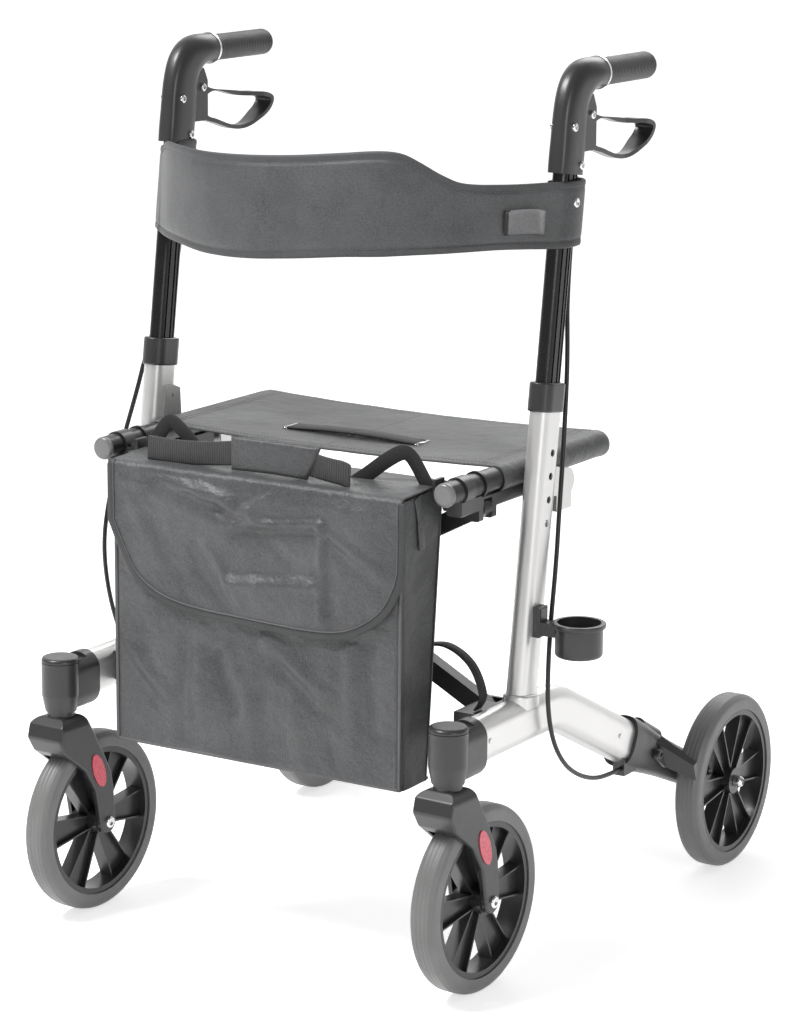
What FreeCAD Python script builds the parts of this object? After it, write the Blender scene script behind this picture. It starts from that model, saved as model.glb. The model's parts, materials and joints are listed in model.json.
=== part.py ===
import FreeCAD, Part
import math
import os

# A four-wheeled folding walker. X is across, Y is rearward, Z is up. The origin is on the floor,
# midway between the sides and under the front axles. Most pieces are drawn for the side at +X
# and mirrored for the other one.

Vec = FreeCAD.Vector
X_DIR = Vec(1, 0, 0)
Y_DIR = Vec(0, 1, 0)
Z_DIR = Vec(0, 0, 1)

# Clearances and the overrun of cuts
OVERRUN = 5.0
SHAFT_CLEARANCE = 0.05
SLIDE_CLEARANCE = 0.4
SIDE_CLEARANCE = 0.5
SWING_CLEARANCE = 2.0

# Layout
WHEEL_R = 100.0
TRACK_HALF = 245.0
WHEELBASE = 514.0
TRAIL = 50.0
CASTER_TURN = -3.0
BEND_Y = 160.6
UPRIGHT_Y = 93.9
LEAN = 7.9
LEAN_SLOPE = math.tan(math.radians(LEAN))
RAIL_Z = 522.1
GRIP_Z = 930.0

# Wheels
TYRE_WIDTH = 29.0
TYRE_DEPTH = 17.0
TYRE_SHOULDER = 8.0
RIM_RING = 6.5
RIM_WIDTH = 26.0
RIM_WEB = 5.0
SPOKE_RIB = 1.8
SPOKE_DEPTH = 16.0
SPOKE_FOOT = 15.0
SPOKE_HEAD = 34.0
SPOKE_COUNT = 6
HUB_R = 15.0
AXLE_R = 4.0
AXLE_HEAD_R = 6.5
AXLE_HEAD = 3.5

# Caster fork
FORK_GAP = 35.0
FORK_ARM = 6.5
FORK_RISE = 31.0
FORK_TOP = 2 * WHEEL_R + FORK_RISE
FORK_ARCH = 4.5
FORK_BOSS_R = 13.0
FORK_EDGE = 3.0
FORK_SHOULDER = 13.0
FORK_SHARES = [(-0.125, 0.0), (-0.2, 0.3), (-0.37, 0.505), (-0.7, 0.7), (-0.8, 0.825), (-0.76, 0.94),
               (-0.66, 1.0), (-0.36, 1.0), (-0.26, 0.88), (-0.06, 0.62), (0.06, 0.44), (0.1, 0.3),
               (0.125, 0.0)]
CROWN_R = 31.0
STEM_R = 6.0
STEM_WASHER_R = 15.0
REFLECTOR_LENGTH = 42.0
REFLECTOR_WIDTH = 18.0
REFLECTOR_THICK = 1.0
REFLECTOR_LEAN = 22.0
REFLECTOR_SHARES = (-0.165, 0.63)

# Base tube: level front leg, then a falling rear leg that aims a little below the rear axle
BARREL_GAP = 5.0
BARREL_BOTTOM = FORK_TOP + BARREL_GAP
BASE_RISE = 31.5
BASE_Z = BARREL_BOTTOM + BASE_RISE
BASE_W = 30.0
BASE_H = 50.0
BASE_WALL = 2.5
BASE_START = -18.0
BEND_R = 110.0
LEG_AIM = 7.16
LEG_RUN = WHEELBASE - BEND_Y
LEG_DROP = math.degrees(math.atan2(BASE_Z - WHEEL_R + LEG_AIM, LEG_RUN))
HOUSING_REACH = 216.2
LEG_END = LEG_RUN / math.cos(math.radians(LEG_DROP)) - HOUSING_REACH
TUBE_SEAT = 32.0
RIVET_R = 3.0
RIVET_HEAD = 1.2

# Caster housing
BARREL_R = 20.5
BARREL_FOOT_R = 17.0
BARREL_TAPER = 18.0
BARREL_H = 54.0
BARREL_TOP = BARREL_BOTTOM + BARREL_H
BARREL_CAP = 6.0
BARREL_CAP_EDGE = 4.0
BARREL_SEAM = 0.8
LIP_R = 18.5
SLEEVE_W = 39.0
SLEEVE_H = 61.0
SLEEVE_DROP = 3.5
SLEEVE_END = -3.0
SLEEVE_EDGE = 3.0

# Upright, post and collar. Places on the mast are distances up it from the base tube's axis.
UPRIGHT_W = 23.0
UPRIGHT_D = 42.0
UPRIGHT_WALL = 2.0
UPRIGHT_TOP = 345.0
WELD = 3.0
HOLE_R = 3.9
HOLE_PITCH = 24.5
HOLE_COUNT = 4
HOLE_LOWEST = 208.0
HOLE_BACK = 2.5
COLLAR_LOW = 323.6
COLLAR_TOP = 354.0
COLLAR_WALL = 2.5
COLLAR_EDGE = 2.0
POST_W = 18.0
POST_D = 34.0
POST_LOW = 199.0
POST_GROOVE = 1.0
POST_GROOVE_WIDTH = 3.0
POST_GROOVE_STEP = 8.0
POST_INSERT = 60.0
SHOE_LENGTH = 12.0
BUTTON_R = 3.4
BUTTON_TRAVEL = 4.0
BUTTON_LENGTH = 7.0

# Handle body, grip and lever
BODY_REACH = 99.86
BODY_LOW = (GRIP_Z - BASE_Z) / math.cos(math.radians(LEAN)) - BODY_REACH
BODY_W = 25.0
BODY_D = 48.0
ELBOW_R = 40.0
BODY_POWERS = (3.2, 3.2, 3.0)
ELBOW_SHARES = [(0.35, 1.08, 0.94, 2.7), (0.7, 1.22, 0.83, 2.3)]
NECK_R = 17.0
NECK_POWER = 2
GRIP_BACK = 51.2
GRIP_LENGTH = 110.0
GRIP_START = UPRIGHT_Y + (GRIP_Z - BASE_Z) * LEAN_SLOPE + GRIP_BACK
GRIP_END = GRIP_START + GRIP_LENGTH
GRIP_R = 14.5
GRIP_ROUND = 7.0
GRIP_CORE_R = 9.0
GRIP_CORE_SHORT = 12.0
RING_WIDTH = 3.0
RING_STEP = 0.6
LEVER_REACH = 139.0
LEVER_DROP = 41.0
LEVER_BACK = 31.2
LEVER_PIVOT_Z = GRIP_Z - LEVER_DROP
LEVER_PIVOT_Y = UPRIGHT_Y + (LEVER_PIVOT_Z - BASE_Z) * LEAN_SLOPE + LEVER_BACK
LEVER_THICK = 10.0
LEVER_PADDLE = 22.0
LEVER_OUT_SHARES = [(-0.05, 0.03), (0.0, 0.05), (0.07, 0.015), (0.2, -0.03), (0.45, -0.06),
                    (0.74, -0.094), (0.913, -0.114), (0.995, -0.165), (0.969, -0.223), (0.849, -0.301),
                    (0.706, -0.362), (0.608, -0.382), (0.512, -0.379), (0.391, -0.356), (0.174, -0.294),
                    (0.04, -0.25), (0.0, -0.2), (-0.005, -0.1), (-0.05, -0.035)]
LEVER_HOLE_SHARES = [(0.085, -0.08), (0.13, -0.058), (0.45, -0.093), (0.74, -0.127), (0.895, -0.147),
                     (0.955, -0.178), (0.935, -0.21), (0.83, -0.276), (0.7, -0.33), (0.61, -0.349),
                     (0.515, -0.346), (0.4, -0.325), (0.19, -0.262), (0.1, -0.225)]
LEVER_PLAN_SHARES = (0.58, 0.85, 1.1)
LUG_WALL = 3.0
LUG_OUT = 10.5
LUG_UP = 21.0
LUG_DOWN = 37.0
LUG_ROOM = 11.0
LUG_CEILING = 11.0
PIN_R = 3.0
SCREW_R = 4.5
SCREW_HEAD = 3.2
BODY_SCREW_SHARES = [(0.265, 0.22), (0.85, -0.21)]

# Rear housing and brake arm
REAR_SLEEVE_W = 39.0
REAR_SLEEVE_H = 58.0
HOUSING_WIDTH_SHARES = (1.0, 0.97, 0.82, 0.62, 0.52)
HOUSING_HEIGHT_SHARES = (1.0, 0.98, 0.84, 0.72, 0.58)
HOUSING_PLACE_SHARES = (0.0, 0.14, 0.36, 0.66, 0.92)
HOUSING_BLOCK = 26.0
HOUSING_BLOCK_RISE = 4.0
AXLE_BOSS_R = 19.0
AXLE_BOSS_W = 22.0
WHEEL_GAP = 4.5
ANCHOR_W = 13.0
ANCHOR_H = 20.0
ANCHOR_LENGTH = 28.0
ANCHOR_FORWARD = 14.2
ANCHOR_DROP = 25.6
BRAKE_PIVOT_SHARES = (-1.22, 0.5)
BRAKE_PIVOT_Y = WHEELBASE + BRAKE_PIVOT_SHARES[0] * WHEEL_R
BRAKE_PIVOT_Z = WHEEL_R + BRAKE_PIVOT_SHARES[1] * WHEEL_R
BRAKE_PLATE = 4.0
BRAKE_PLATE_OUT = 17.5
BRAKE_PLATE_X = TRACK_HALF + BRAKE_PLATE_OUT
BRAKE_SCREW_R = 5.5
BRAKE_ARM_W = 14.0
BRAKE_ROOM = BRAKE_ARM_W * 2.2
BRAKE_CLAMP_SHARES = (-0.22, 0.14)
SHOE_GAP = 3.0
SHOE_ROOT_SHARES = [(-1.4, 0.75), (-1.3, 0.81), (-1.19, 0.5), (-1.28, 0.46)]
SHOE_TIP_SHARES = [(-1.07, 0.45), (-1.0, 0.48), (-0.93, 0.29), (-1.0, 0.26)]
SHOE_CENTRE_SHARES = (-1.29, 0.63)

# Cross brace
BRACE_INSET = 31.6
BRACE_X = TRACK_HALF - BRACE_INSET
BRACE_LOW_RISE = 4.5
BRACE_LOW_Z = BASE_Z + BRACE_LOW_RISE
BRACE_HIGH_DROP = 25.1
BRACE_HIGH_Z = RAIL_Z - BRACE_HIGH_DROP
BRACE_REAR_Y = 90.0
BRACE_FRONT_Y = 62.0
BAR_H = 20.0
BAR_T = 16.0
BAR_WALL = 2.5
BRACE_PIN_R = 4.0
BRACE_HEAD_R = 8.5
BRACE_HEAD = 3.0
BRACKET_Y0 = 29.0
BRACKET_Y1 = 103.0
BRACKET_UP = 14.0
BRACKET_DOWN = 18.0
BRACKET_IN = 11.0

# Seat rail with its yoke, rail saddle and seat
RAIL_R = 12.5
RAIL_WALL = 2.0
RAIL_FRONT = -8.0
RAIL_REAR = 318.0
RAIL_CAP = 5.0
YOKE_W = 18.0
YOKE_H = 16.0
YOKE_Y0 = 10.0
YOKE_Y1 = 184.0
YOKE_DEEP = 12.0
YOKE_CHEEK = 9.0
HOOK_Y = 22.0
HOOK_W = 13.0
HOOK_T = 4.0
HOOK_H = 18.0
TAB_H = 24.0
TAB_GAP = 0.3
KNOB_R = 6.0
SADDLE_T = 3.0
SADDLE_STRIP_W = 12.0
SADDLE_RISE = 44.9
SADDLE_TOP = RAIL_Z + SADDLE_RISE
SADDLE_R = 14.5
SADDLE_Y = 210.0
PAD_Y0 = 192.0
PAD_Y1 = 224.0
PAD_H = 9.0
SEAT_Y0 = 88.0
SEAT_Y1 = 318.0
SEAT_T = 2.0
SEAT_SAG = 5.0
RAIL_RING = 4.0
STRAP_Y = 158.5
STRAP_W = 27.0
STRAP_HALF = 82.0
STRAP_RISE = 14.0
STRAP_T = 2.2
STRAP_STITCH = 14.0
STRAP_FOOT_SHARE = 0.6
STRAP_MIDDLE_SHARES = (0.55, 0.72)

# Backrest band, seen from above as a bow
BAND_BOW = 112.0
BAND_POWER = 2.6
BAND_T = 6.0
BAND_DROP = 73.0
BAND_H = 124.0
BAND_TOP = GRIP_Z - BAND_DROP
BAND_BOTTOM = BAND_TOP - BAND_H
BAND_END_DROP = 32.0
BAND_END_H = 68.0
BAND_END_TOP = BAND_TOP - BAND_END_DROP
BAND_END_BOTTOM = BAND_END_TOP - BAND_END_H
BAND_POST_GAP = 1.0
BAND_CORD_ROOM = 6.0
CORD_BACK = 23.6
CORD_ROOM = 0.4
BAND_SHARES = (-1.0, -0.9, -0.7, -0.5, -0.25, 0.0, 0.25, 0.41, 0.5, 0.57, 0.65, 0.72, 0.85, 1.0)
BAND_TOP_SHARES = (0.12, 0.44, 0.53, 0.52, 0.58, 0.7, 0.89, 1.0, 0.94, 0.67, 0.28, 0.03, -0.03, 0.0)
BAND_LOW_SHARES = (0.75, 0.85, 0.88, 0.98, 0.93, 0.72, 0.46, 0.36, 0.28, 0.22, 0.16, 0.1, 0.0, 0.0)

# Bag with its flap
BAG_INSET = 31.4
BAG_HALF = BRACE_X - BAG_INSET
BAG_FRONT = -38.0
BAG_BACK_LOW = 22.0
BAG_BACK_HIGH = 50.0
BAG_DROP = 1.1
BAG_H = 311.0
BAG_HIGH = RAIL_Z - BAG_DROP
BAG_LOW = BAG_HIGH - BAG_H
BAG_SLOPE = 4.0
BAG_EDGE = 12.0
FLAP_T = 2.5
FLAP_GAP = 0.5
FLAP_DROP_SHARES = [(-1.0, 0.2), (-0.92, 0.29), (-0.82, 0.385), (-0.64, 0.45), (-0.4, 0.478),
                    (0.0, 0.488), (0.35, 0.494), (0.6, 0.482), (0.77, 0.44), (0.9, 0.375),
                    (0.975, 0.29), (1.0, 0.225)]
HANDLE_Y = -20.0
HANDLE_FAR = 150.0
HANDLE_NEAR = 107.0
HANDLE_RISE = 1.5
PAD_SHIFT = 9.0
PAD_HALF = 49.0
PAD_H = 38.0
PAD_T = 8.0
WEB_H = 25.0
WEB_T = 2.4

# Cane cup with its clamp
CUP_OUT = 63.0
CUP_X = TRACK_HALF + CUP_OUT
CUP_Y = 105.0
CUP_RIM_R = 28.0
CUP_R = 25.0
CUP_WALL = 2.0
CUP_RISE = 111.5
CUP_TOP = BASE_Z + CUP_RISE
CUP_H = 36.0
CUP_RIM_H = 5.0
CUP_BRACKET_W = 18.0
CUP_BRACKET_T = 9.0
CUP_BRACKET_UP = 10.0
CUP_BRACKET_H = 32.0
CUP_BRACKET_TOP = CUP_TOP + CUP_BRACKET_UP
CUP_BRACKET_LOW = CUP_BRACKET_TOP - CUP_BRACKET_H
CUP_BRACKET_SHARES = (-0.55, 0.38)
CUP_ARM_H = 14.0
CUP_BOLT_R = 4.0

# Webbing loop at the left brace bracket
LOOP_Y = 45.0
LOOP_W = 17.0
LOOP_T = 2.2
LOOP_SHARES = [(-0.02, 0.19), (0.06, 0.4), (-0.12, 0.78), (-0.5, 0.98), (-0.95, 0.9)]
LOOP_SPAN = 80.0

# Brake cables, from the lever to the rear housing
CABLE_R = 2.5
CABLE_LEFT = [(245, 195.3, 826.5), (245, 179.8, 715), (249, 177, 642), (250.5, 172, 592),
              (254, 162, 540), (259, 147, 487), (263.5, 134, 430),
              (266, 120, 372), (267.5, 113, 320), (268, 113, 276), (268, 126, 238), (266, 153, 208),
              (263, 187, 187), (260, 225, 172), (257, 262, 164), (253.5, 305, 161)]
CABLE_RIGHT = [(-245, 195.3, 826.5), (-245, 179.8, 715), (-252.5, 173, 676), (-260, 157, 640),
               (-264.5, 141, 602), (-273, 133, 556),
               (-284, 129, 517), (-291, 119, 475), (-296, 109, 433), (-298, 102, 392),
               (-297.5, 103.5, 352), (-294, 111, 308), (-288, 123, 268), (-281, 140, 236),
               (-273, 166, 209), (-266, 199, 187), (-260, 234, 172), (-256, 268, 164),
               (-253.5, 305, 161)]
ARC_SHARE = 0.45


# Helpers

def arc(a, b, c):
    return Part.Arc(a, b, c).toShape()


def line(a, b):
    return Part.LineSegment(a, b).toShape()


def box(x0, x1, y0, y1, z0, z1):
    return Part.makeBox(x1 - x0, y1 - y0, z1 - z0, Vec(x0, y0, z0))


def rod(start, end, radius):
    return Part.makeCylinder(radius, (end - start).Length, start, end - start)


def oval_face(width, height, centre, across, along):
    """A flat-sided oval: width along across, height along the third direction."""
    up = along.cross(across).normalize()
    r = width / 2
    s = height / 2 - r
    corner = [centre + across * (r * i) + up * (s * j) for i, j in ((1, -1), (1, 1), (-1, 1), (-1, -1))]
    top = centre + up * (height / 2)
    bottom = centre - up * (height / 2)
    wire = Part.Wire([line(corner[0], corner[1]), arc(corner[1], top, corner[2]),
                      line(corner[2], corner[3]), arc(corner[3], bottom, corner[0])])
    return Part.Face(wire)


def oval_bar(width, height, start, end):
    along = (end - start).normalize()
    return oval_face(width, height, start, X_DIR, along).extrude(end - start)


def side_plate(points, x0, x1):
    """A polygon in the side view, given as (y, z), between two planes across."""
    wire = Part.makePolygon([Vec(x0, y, z) for y, z in points + points[:1]])
    return Part.Face(wire).extrude(Vec(x1 - x0, 0, 0))


def smooth_plate(points, x0, x1):
    """A closed smooth outline in the side view between two planes across."""
    curve = Part.BSplineCurve()
    curve.interpolate(Points=[Vec(x0, y, z) for y, z in points], PeriodicFlag=True)
    return Part.Face(Part.Wire(curve.toShape())).extrude(Vec(x1 - x0, 0, 0))


def squircle(centre, half_x, half_up, up, power):
    """A closed smooth section: half_x across and half_up along up, squarer with a higher power."""
    count = 24
    points = []
    for i in range(count):
        a = 2 * math.pi * i / count
        c = math.copysign(abs(math.cos(a)) ** (2 / power), math.cos(a))
        s = math.copysign(abs(math.sin(a)) ** (2 / power), math.sin(a))
        points.append(centre + X_DIR * (half_x * c) + up * (half_up * s))
    curve = Part.BSplineCurve()
    curve.interpolate(Points=points, PeriodicFlag=True)
    return Part.Wire(curve.toShape())


def softened(shape, radius, chosen):
    edges = [e for e in shape.Edges if chosen(e)]
    return shape.makeFillet(radius, edges) if edges else shape


def mirrored(shape):
    return shape.mirror(Vec(0, 0, 0), X_DIR)


def save(name, *solids):
    shape = solids[0] if len(solids) == 1 else Part.makeCompound(list(solids))
    shape.exportStep("parts/" + name + ".step")


def save_pair(name, *solids):
    save(name + "_left", *solids)
    save(name + "_right", *[mirrored(s) for s in solids])


def tilt(degrees):
    a = math.radians(degrees)
    return Vec(0, math.sin(a), math.cos(a))


MAST = tilt(LEAN)
MAST_BACK = Vec(0, MAST.z, -MAST.y)
LEG = Vec(0, math.cos(math.radians(LEG_DROP)), -math.sin(math.radians(LEG_DROP)))
BEND = Vec(TRACK_HALF, BEND_Y, BASE_Z)


def mast(up, back=0, across=0):
    return Vec(TRACK_HALF + across, UPRIGHT_Y, BASE_Z) + MAST * up + MAST_BACK * back


def leg(along):
    return BEND + LEG * along


# Frame side

def bent_oval(width, height, start_y, end):
    setback = BEND_R * math.tan(math.radians(LEG_DROP) / 2)
    first = oval_bar(width, height, Vec(TRACK_HALF, start_y, BASE_Z), BEND - Y_DIR * setback)
    face = oval_face(width, height, BEND - Y_DIR * setback, X_DIR, Y_DIR)
    centre = BEND - Y_DIR * setback - Z_DIR * BEND_R
    bend = face.revolve(centre, Vec(-1, 0, 0), LEG_DROP)
    last = oval_bar(width, height, leg(setback), leg(end))
    return first.fuse([bend, last]).removeSplitter()


def base_tube():
    outer = bent_oval(BASE_W, BASE_H, BASE_START, LEG_END + TUBE_SEAT)
    inner = bent_oval(BASE_W - 2 * BASE_WALL, BASE_H - 2 * BASE_WALL, BASE_START - OVERRUN,
                      LEG_END + TUBE_SEAT + OVERRUN)
    rivets = []
    for place in (Vec(TRACK_HALF, SLEEVE_END + SLEEVE_EDGE * 4, BASE_Z), leg(LEG_END - TUBE_SEAT)):
        x = TRACK_HALF + BASE_W / 2
        rivet = rod(Vec(x - BASE_WALL, place.y, place.z), Vec(x + RIVET_HEAD, place.y, place.z), RIVET_R)
        rivets.append(rivet)
    return outer.cut(inner).fuse(rivets)


def weld_bead():
    foot = BASE_H / 2
    bead = oval_bar(UPRIGHT_W + 2 * WELD, UPRIGHT_D + 2 * WELD, mast(foot - 4 * WELD), mast(foot + WELD))
    return softened(bead, WELD * 0.9, lambda e: e.CenterOfMass.z > BASE_Z + foot - WELD / 2
                    and abs(e.tangentAt(e.FirstParameter).dot(MAST)) < 0.1)


def upright():
    tube = oval_bar(UPRIGHT_W, UPRIGHT_D, mast(0), mast(UPRIGHT_TOP))
    outer = tube.fuse(weld_bead()).cut(bent_oval(BASE_W, BASE_H, BASE_START, LEG_END))
    bore = oval_bar(UPRIGHT_W - 2 * UPRIGHT_WALL, UPRIGHT_D - 2 * UPRIGHT_WALL, mast(0),
                    mast(UPRIGHT_TOP + OVERRUN))
    shape = outer.cut(bore)
    for i in range(HOLE_COUNT):
        place = mast(HOLE_LOWEST + i * HOLE_PITCH, HOLE_BACK)
        shape = shape.cut(rod(place, place + X_DIR * UPRIGHT_W, HOLE_R))
    return shape


def collar():
    outer = oval_bar(UPRIGHT_W + 2 * COLLAR_WALL, UPRIGHT_D + 2 * COLLAR_WALL, mast(COLLAR_LOW),
                     mast(COLLAR_TOP))
    outer = softened(outer, COLLAR_EDGE, lambda e: abs(e.tangentAt(e.FirstParameter).dot(MAST)) < 0.1
                     and abs(e.tangentAt(e.LastParameter).dot(MAST)) < 0.1)
    outer = outer.cut(oval_bar(UPRIGHT_W, UPRIGHT_D, mast(0), mast(UPRIGHT_TOP)))
    play = 2 * SLIDE_CLEARANCE
    return outer.cut(oval_bar(POST_W + play, POST_D + play, mast(0), mast(COLLAR_TOP + OVERRUN)))


def handle_post():
    shape = oval_bar(POST_W, POST_D, mast(POST_LOW), mast(BODY_LOW + POST_INSERT))
    for side in (-1, 1):
        for back in (-POST_GROOVE_STEP, POST_GROOVE_STEP / 4, POST_GROOVE_STEP):
            x = side * (POST_W / 2)
            start = mast(POST_LOW - OVERRUN, back, x)
            along = MAST * (BODY_LOW - POST_LOW + 2 * OVERRUN)
            face = Part.makeBox(2 * POST_GROOVE, POST_GROOVE_WIDTH, along.Length,
                                start - X_DIR * POST_GROOVE - MAST_BACK * (POST_GROOVE_WIDTH / 2))
            face.rotate(start - X_DIR * POST_GROOVE - MAST_BACK * (POST_GROOVE_WIDTH / 2), X_DIR, -LEAN)
            shape = shape.cut(face)
    bore = UPRIGHT_WALL + SLIDE_CLEARANCE
    shoe = oval_bar(UPRIGHT_W - 2 * bore, UPRIGHT_D - 2 * bore, mast(POST_LOW - SHOE_LENGTH),
                    mast(POST_LOW))
    shape = shape.fuse(shoe)
    place = mast(HOLE_LOWEST, HOLE_BACK)
    pocket_end = POST_W / 2 - BUTTON_LENGTH - BUTTON_TRAVEL - SIDE_CLEARANCE
    return shape.cut(rod(place + X_DIR * pocket_end, place + X_DIR * UPRIGHT_W,
                         BUTTON_R + SHAFT_CLEARANCE))


def height_button():
    place = mast(HOLE_LOWEST, HOLE_BACK)
    tip = UPRIGHT_W / 2 - UPRIGHT_WALL - SLIDE_CLEARANCE / 2
    return rod(place + X_DIR * (tip - BUTTON_LENGTH), place + X_DIR * tip, BUTTON_R)


# Handle

def elbow_start():
    angle = math.radians(LEAN)
    z = GRIP_Z - ELBOW_R * (1 - math.sin(angle))
    up = (z - BASE_Z) / MAST.z
    return up, mast(up)


def handle_body():
    up, start = elbow_start()
    centre = start + MAST_BACK * ELBOW_R
    heights = (BODY_LOW, (BODY_LOW + up) / 2, up - ELBOW_R / 4)
    places = [(mast(height), LEAN, BODY_W / 2, BODY_D / 2, power)
              for height, power in zip(heights, BODY_POWERS)]
    turn = 90 - LEAN
    for share, x_share, d_share, power in ELBOW_SHARES:
        lean = LEAN + turn * share
        out = Vec(0, -math.cos(math.radians(lean)), math.sin(math.radians(lean)))
        places.append((centre + out * ELBOW_R, lean, BODY_W / 2 * x_share, BODY_D / 2 * d_share, power))
    neck_end = GRIP_START - RING_WIDTH
    for y in (centre.y, neck_end):
        places.append((Vec(TRACK_HALF, y, GRIP_Z), 90, NECK_R, NECK_R, NECK_POWER))
    wires = []
    for place, lean, half_x, half_d, power in places:
        a = math.radians(lean)
        wires.append(squircle(place, half_x, half_d, Vec(0, math.cos(a), -math.sin(a)), power))
    shape = Part.makeLoft(wires, True, False)
    pivot = Vec(TRACK_HALF, LEVER_PIVOT_Y, LEVER_PIVOT_Z)
    half = LEVER_THICK / 2 + SIDE_CLEARANCE
    front, back = pivot.y - LUG_OUT - LUG_UP, pivot.y + LUG_OUT
    high, low = pivot.z + LUG_UP, pivot.z - LUG_DOWN
    outline = [(front, high), (pivot.y + LUG_OUT / 3, high), (back, pivot.z + LUG_UP / 3), (back, low),
               (front, low)]
    lug = side_plate(outline, TRACK_HALF - half - LUG_WALL, TRACK_HALF + half + LUG_WALL)
    shape = shape.fuse(lug)
    slot = box(TRACK_HALF - half, TRACK_HALF + half, pivot.y - LUG_ROOM, back + OVERRUN,
               low - OVERRUN, pivot.z + LUG_CEILING)
    shape = shape.cut(slot)
    core_end = Vec(TRACK_HALF, GRIP_END - GRIP_CORE_SHORT, GRIP_Z)
    core = rod(Vec(TRACK_HALF, neck_end - OVERRUN, GRIP_Z), core_end, GRIP_CORE_R)
    shape = shape.fuse(core)
    shape = shape.cut(handle_screws())
    return shape.cut(oval_bar(POST_W, POST_D, mast(BODY_LOW - OVERRUN), mast(BODY_LOW + POST_INSERT)))


def grip():
    start = Vec(TRACK_HALF, GRIP_START, GRIP_Z)
    shape = rod(start, Vec(TRACK_HALF, GRIP_END, GRIP_Z), GRIP_R)
    shape = softened(shape, GRIP_ROUND, lambda e: e.CenterOfMass.y > GRIP_END - GRIP_ROUND
                     and len(e.Vertexes) == 1)
    return shape.cut(rod(start, Vec(TRACK_HALF, GRIP_END - GRIP_CORE_SHORT, GRIP_Z), GRIP_CORE_R))


def lever_point(share):
    return (LEVER_PIVOT_Y + share[0] * LEVER_REACH, LEVER_PIVOT_Z + share[1] * LEVER_REACH)


def brake_lever():
    half = LEVER_PADDLE / 2
    x0, x1 = TRACK_HALF - half, TRACK_HALF + half
    body = smooth_plate([lever_point(s) for s in LEVER_OUT_SHARES], x0, x1)
    hole = smooth_plate([lever_point(s) for s in LEVER_HOLE_SHARES], x0 - OVERRUN, x1 + OVERRUN)
    body = body.cut(hole)
    thin = LEVER_THICK / 2
    y = [LEVER_PIVOT_Y + LEVER_REACH * s for s in (-LEVER_PLAN_SHARES[0],) + LEVER_PLAN_SHARES]
    plan = [(-thin, y[0]), (-thin, y[1]), (-half, y[2]), (-half, y[3]), (half, y[3]), (half, y[2]),
            (thin, y[1]), (thin, y[0])]
    low = LEVER_PIVOT_Z - LEVER_REACH
    wire = Part.makePolygon([Vec(TRACK_HALF + a, b, low) for a, b in plan + plan[:1]])
    shape = body.common(Part.Face(wire).extrude(Vec(0, 0, 2 * LEVER_REACH)))
    pivot = Vec(TRACK_HALF, LEVER_PIVOT_Y, LEVER_PIVOT_Z)
    return shape.cut(rod(pivot - X_DIR * half, pivot + X_DIR * half, PIN_R + SHAFT_CLEARANCE))


def screw_head(face, direction, radius, height):
    head = rod(face, face + direction * height, radius)
    top = face + direction * height
    head = softened(head, height / 2, lambda e: (e.CenterOfMass - top).Length < height / 2
                    and len(e.Vertexes) == 1)
    recess = rod(top - direction * (height / 2), top + direction * height, radius / 2)
    return head.cut(recess)


def handle_screws():
    pivot = Vec(TRACK_HALF, LEVER_PIVOT_Y, LEVER_PIVOT_Z)
    reach = LEVER_THICK / 2 + SIDE_CLEARANCE + LUG_WALL
    pieces = [rod(pivot - X_DIR * reach, pivot + X_DIR * reach, PIN_R),
              screw_head(pivot + X_DIR * reach, X_DIR, SCREW_R, SCREW_HEAD),
              screw_head(pivot - X_DIR * reach, -X_DIR, SCREW_R, SCREW_HEAD)]
    pieces = [pieces[0].fuse(pieces[1:])]
    up, _ = elbow_start()
    body_h = up - BODY_LOW
    for along, back in BODY_SCREW_SHARES:
        for side in (-1, 1):
            place = mast(up - along * body_h, back * -BODY_D, side * (BODY_W / 2 - SCREW_HEAD / 4))
            pieces.append(screw_head(place, X_DIR * side, SCREW_R, SCREW_HEAD))
    return pieces


def grip_ring():
    start = Vec(TRACK_HALF, GRIP_START - RING_WIDTH, GRIP_Z)
    end = Vec(TRACK_HALF, GRIP_START, GRIP_Z)
    return rod(start, end, NECK_R + RING_STEP).cut(rod(start, end, GRIP_CORE_R))


# Wheels

def tyre(x):
    shape = rod(Vec(x - TYRE_WIDTH / 2, 0, WHEEL_R), Vec(x + TYRE_WIDTH / 2, 0, WHEEL_R), WHEEL_R)
    shape = softened(shape, TYRE_SHOULDER, lambda e: len(e.Vertexes) == 1)
    return shape.cut(rod(Vec(x - TYRE_WIDTH, 0, WHEEL_R), Vec(x + TYRE_WIDTH, 0, WHEEL_R),
                         WHEEL_R - TYRE_DEPTH))


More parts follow.
